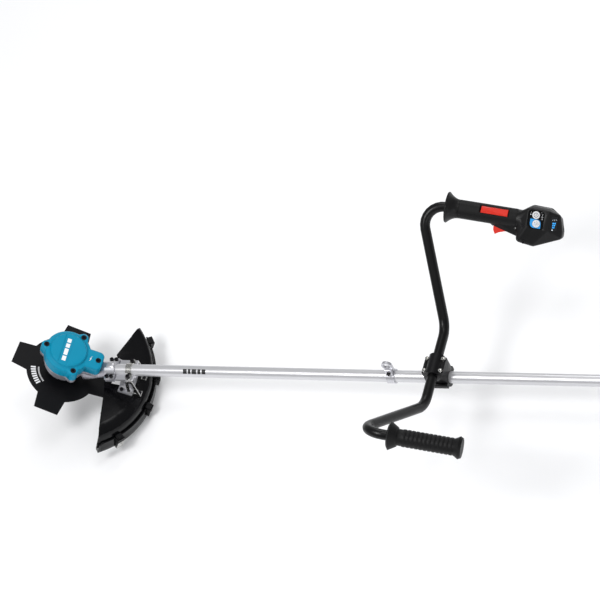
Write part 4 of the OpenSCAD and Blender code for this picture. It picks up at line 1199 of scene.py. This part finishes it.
@dataclass
class PowerUnit(SubAssembly):
    """Rear housing with electronics, stand foot and battery."""

    smooth: dict[str, float] = field(
        default_factory=lambda: {
            "pipe_collar": 32.0, "rear_housing_left": 35.0, "rear_housing_right": 35.0, "rear_foot": 35.0,
            "battery_pack": 35.0,
        }
    )
    at = machine_frame()
    battery_x0: float = 1598.4
    battery_x1: float = 1664.4
    battery_half_w: float = 39.0
    label_z: float = -28.0
    ribs: int = 5
    rib_z: float = 14.0
    rib_pitch: float = 4.2
    lamps: int = 4
    lamp_y: float = -12.0
    lamp_pitch: float = 6.0
    lamp_z: float = 10.0
    key_y: float = 16.0

    def finishes(self) -> dict[str, Finish]:
        """The finish of each node of the power unit."""
        return {
            "pipe_collar": Finishes.CLIP,
            "rear_housing_left": Finishes.TEAL_ABS,
            "rear_housing_right": Finishes.TEAL_ABS,
            "housing_screws": Finishes.OXIDE,
            "controller": Finishes.BOARD,
            "terminal_block": Finishes.CLIP,
            "rear_foot": Finishes.FOOT,
            "battery_pack": Finishes.NYLON,
            "battery_button": Finishes.RED_ABS,
        }

    def detail(self) -> None:
        """Side labels, grip ribs, charge lamps and check key of the battery."""
        bench = Bench(self.at)
        middle = (self.battery_x0 + self.battery_x1) / 2
        for side, name in ((-1, "left"), (1, "right")):
            face = side * self.battery_half_w
            out = turned(-90 * side, "X")
            plate = bench.block((-22, 22), (-34, 34), (-0.1, 0.25), 0.12)
            bench.place(plate, shift(middle, face, self.label_z) @ out)
            bench.hand_over(plate, f"battery_label_{name}", "battery", Finishes.FOIL)
            ribs = []
            for i in range(self.ribs):
                rib = bench.block((-16, 16), (-1, 1), (-0.3, 1.0), 0.5, 2)
                ribs.append(bench.place(rib, shift(middle, face, self.rib_z + self.rib_pitch * i) @ out))
            bench.hand_over(bench.join(ribs), f"battery_grip_ribs_{name}", "battery", Finishes.NYLON)
        back = turned(90, "Y")
        lamps = []
        for i in range(self.lamps):
            lamp = bench.disc(1.3, (-0.1, 0.5), 0.2, 20)
            at = shift(self.battery_x1, self.lamp_y + self.lamp_pitch * i, self.lamp_z)
            lamps.append(bench.place(lamp, at @ back))
        bench.hand_over(bench.join(lamps), "battery_charge_lamps", "battery", Finishes.KEY)
        key = bench.disc(4.2, (-0.1, 0.9), 0.4, 32)
        bench.place(key, shift(self.battery_x1, self.key_y, self.lamp_z) @ back)
        bench.hand_over(key, "battery_check_key", "battery", Finishes.CLIP)


# ---------- studio ----------


@dataclass
class Studio:
    """Pale floor, soft lights and the camera."""

    # direction from the machine to the camera, and the camera's own right
    towards: tuple[float, float, float] = (0.402, -0.523, 0.752)
    across: tuple[float, float, float] = (0.93510, 0.21446, -0.28212)
    aim_mm: tuple[float, float, float] = (562, 143, 74)
    distance: float = 9.0
    view_width: float = 1.30
    # strength of the even surroundings, for light and for mirror images
    sky: float = 0.72
    mirrored_sky: float = 0.34
    # name, place in metres, width and power of each softbox
    lights: list[tuple[str, tuple, float, float]] = field(
        default_factory=lambda: [
            ("key_softbox", (-1.0, -1.3, 2.8), 1.0, 46.0),
            ("fill_softbox", (1.8, -2.2, 1.0), 1.2, 9.0),
            ("back_softbox", (-0.2, 2.4, 2.0), 1.4, 18.0),
            ("top_softbox", (0.5, 0.3, 3.0), 1.0, 12.0),
        ]
    )

    def floor(self) -> None:
        """A wide pale floor under the machine."""
        low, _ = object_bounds()
        Bench.clear()
        bpy.ops.mesh.primitive_plane_add(size=80, location=(0, 0, low.z - 0.0005))
        plane = bpy.context.object
        plane.name = "studio_floor"
        paper = Finish("paper_matt_white", "F4F4F5", "F1F1F2", 0.9, 0.02, cloud_mm=400, grain_mm=5.0)
        plane.data.materials.append(paper.make())
        plane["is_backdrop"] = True

    def light(self) -> None:
        """Large area lights and an even pale surrounding."""
        world = bpy.data.worlds.new("studio")
        bpy.context.scene.world = world
        world.use_nodes = True
        tree = world.node_tree
        sky = tree.nodes["Background"]
        sky.inputs["Color"].default_value = linear("F6F7F8")
        # glossy faces mirror a darker room, so that black plastic stays black
        mirrored = add_node(tree, "ShaderNodeLightPath").outputs["Is Glossy Ray"]
        strength = add_node(
            tree, "ShaderNodeMapRange", {"Value": mirrored, "To Min": self.sky, "To Max": self.mirrored_sky}
        )
        tree.links.new(strength.outputs[0], sky.inputs["Strength"])
        for name, place, size, power in self.lights:
            Bench.clear()
            bpy.ops.object.light_add(type="AREA", location=place)
            lamp = bpy.context.object
            lamp.name = name
            lamp.data.size = size
            lamp.data.energy = power
            # every lamp looks at the hanger's eye, the machine's origin
            lamp.rotation_euler = (-Vector(place)).to_track_quat("-Z", "Y").to_euler()

    def camera(self) -> None:
        """A long lens that looks along the head's and the grip's own viewing direction."""
        back = Vector(self.towards).normalized()
        right = Vector(self.across)
        right = (right - back * right.dot(back)).normalized()
        up = back.cross(right)
        data = bpy.data.cameras.new("camera")
        cam = bpy.data.objects.new("camera", data)
        bpy.context.scene.collection.objects.link(cam)
        aim = Vector(self.aim_mm) * MM - HOOK
        cam.matrix_world = Matrix.Translation(aim + back * self.distance) @ Matrix(
            (right, up, back)
        ).transposed().to_4x4()
        data.lens = data.sensor_width * self.distance / self.view_width
        data.clip_start, data.clip_end = 0.1, 200.0
        bpy.context.scene.camera = cam

    def build(self) -> None:
        """Set up the whole studio."""
        self.floor()
        self.light()
        self.camera()
        bpy.context.scene.view_settings.view_transform = "Standard"


def main() -> None:
    """Build every sub-assembly, then the studio."""
    for assembly in (CuttingHead(), Guard(), ShaftAndBar(), ControlGrip(), PowerUnit()):
        assembly.build()
    Studio().build()


if __name__ == "__main__":
    main()
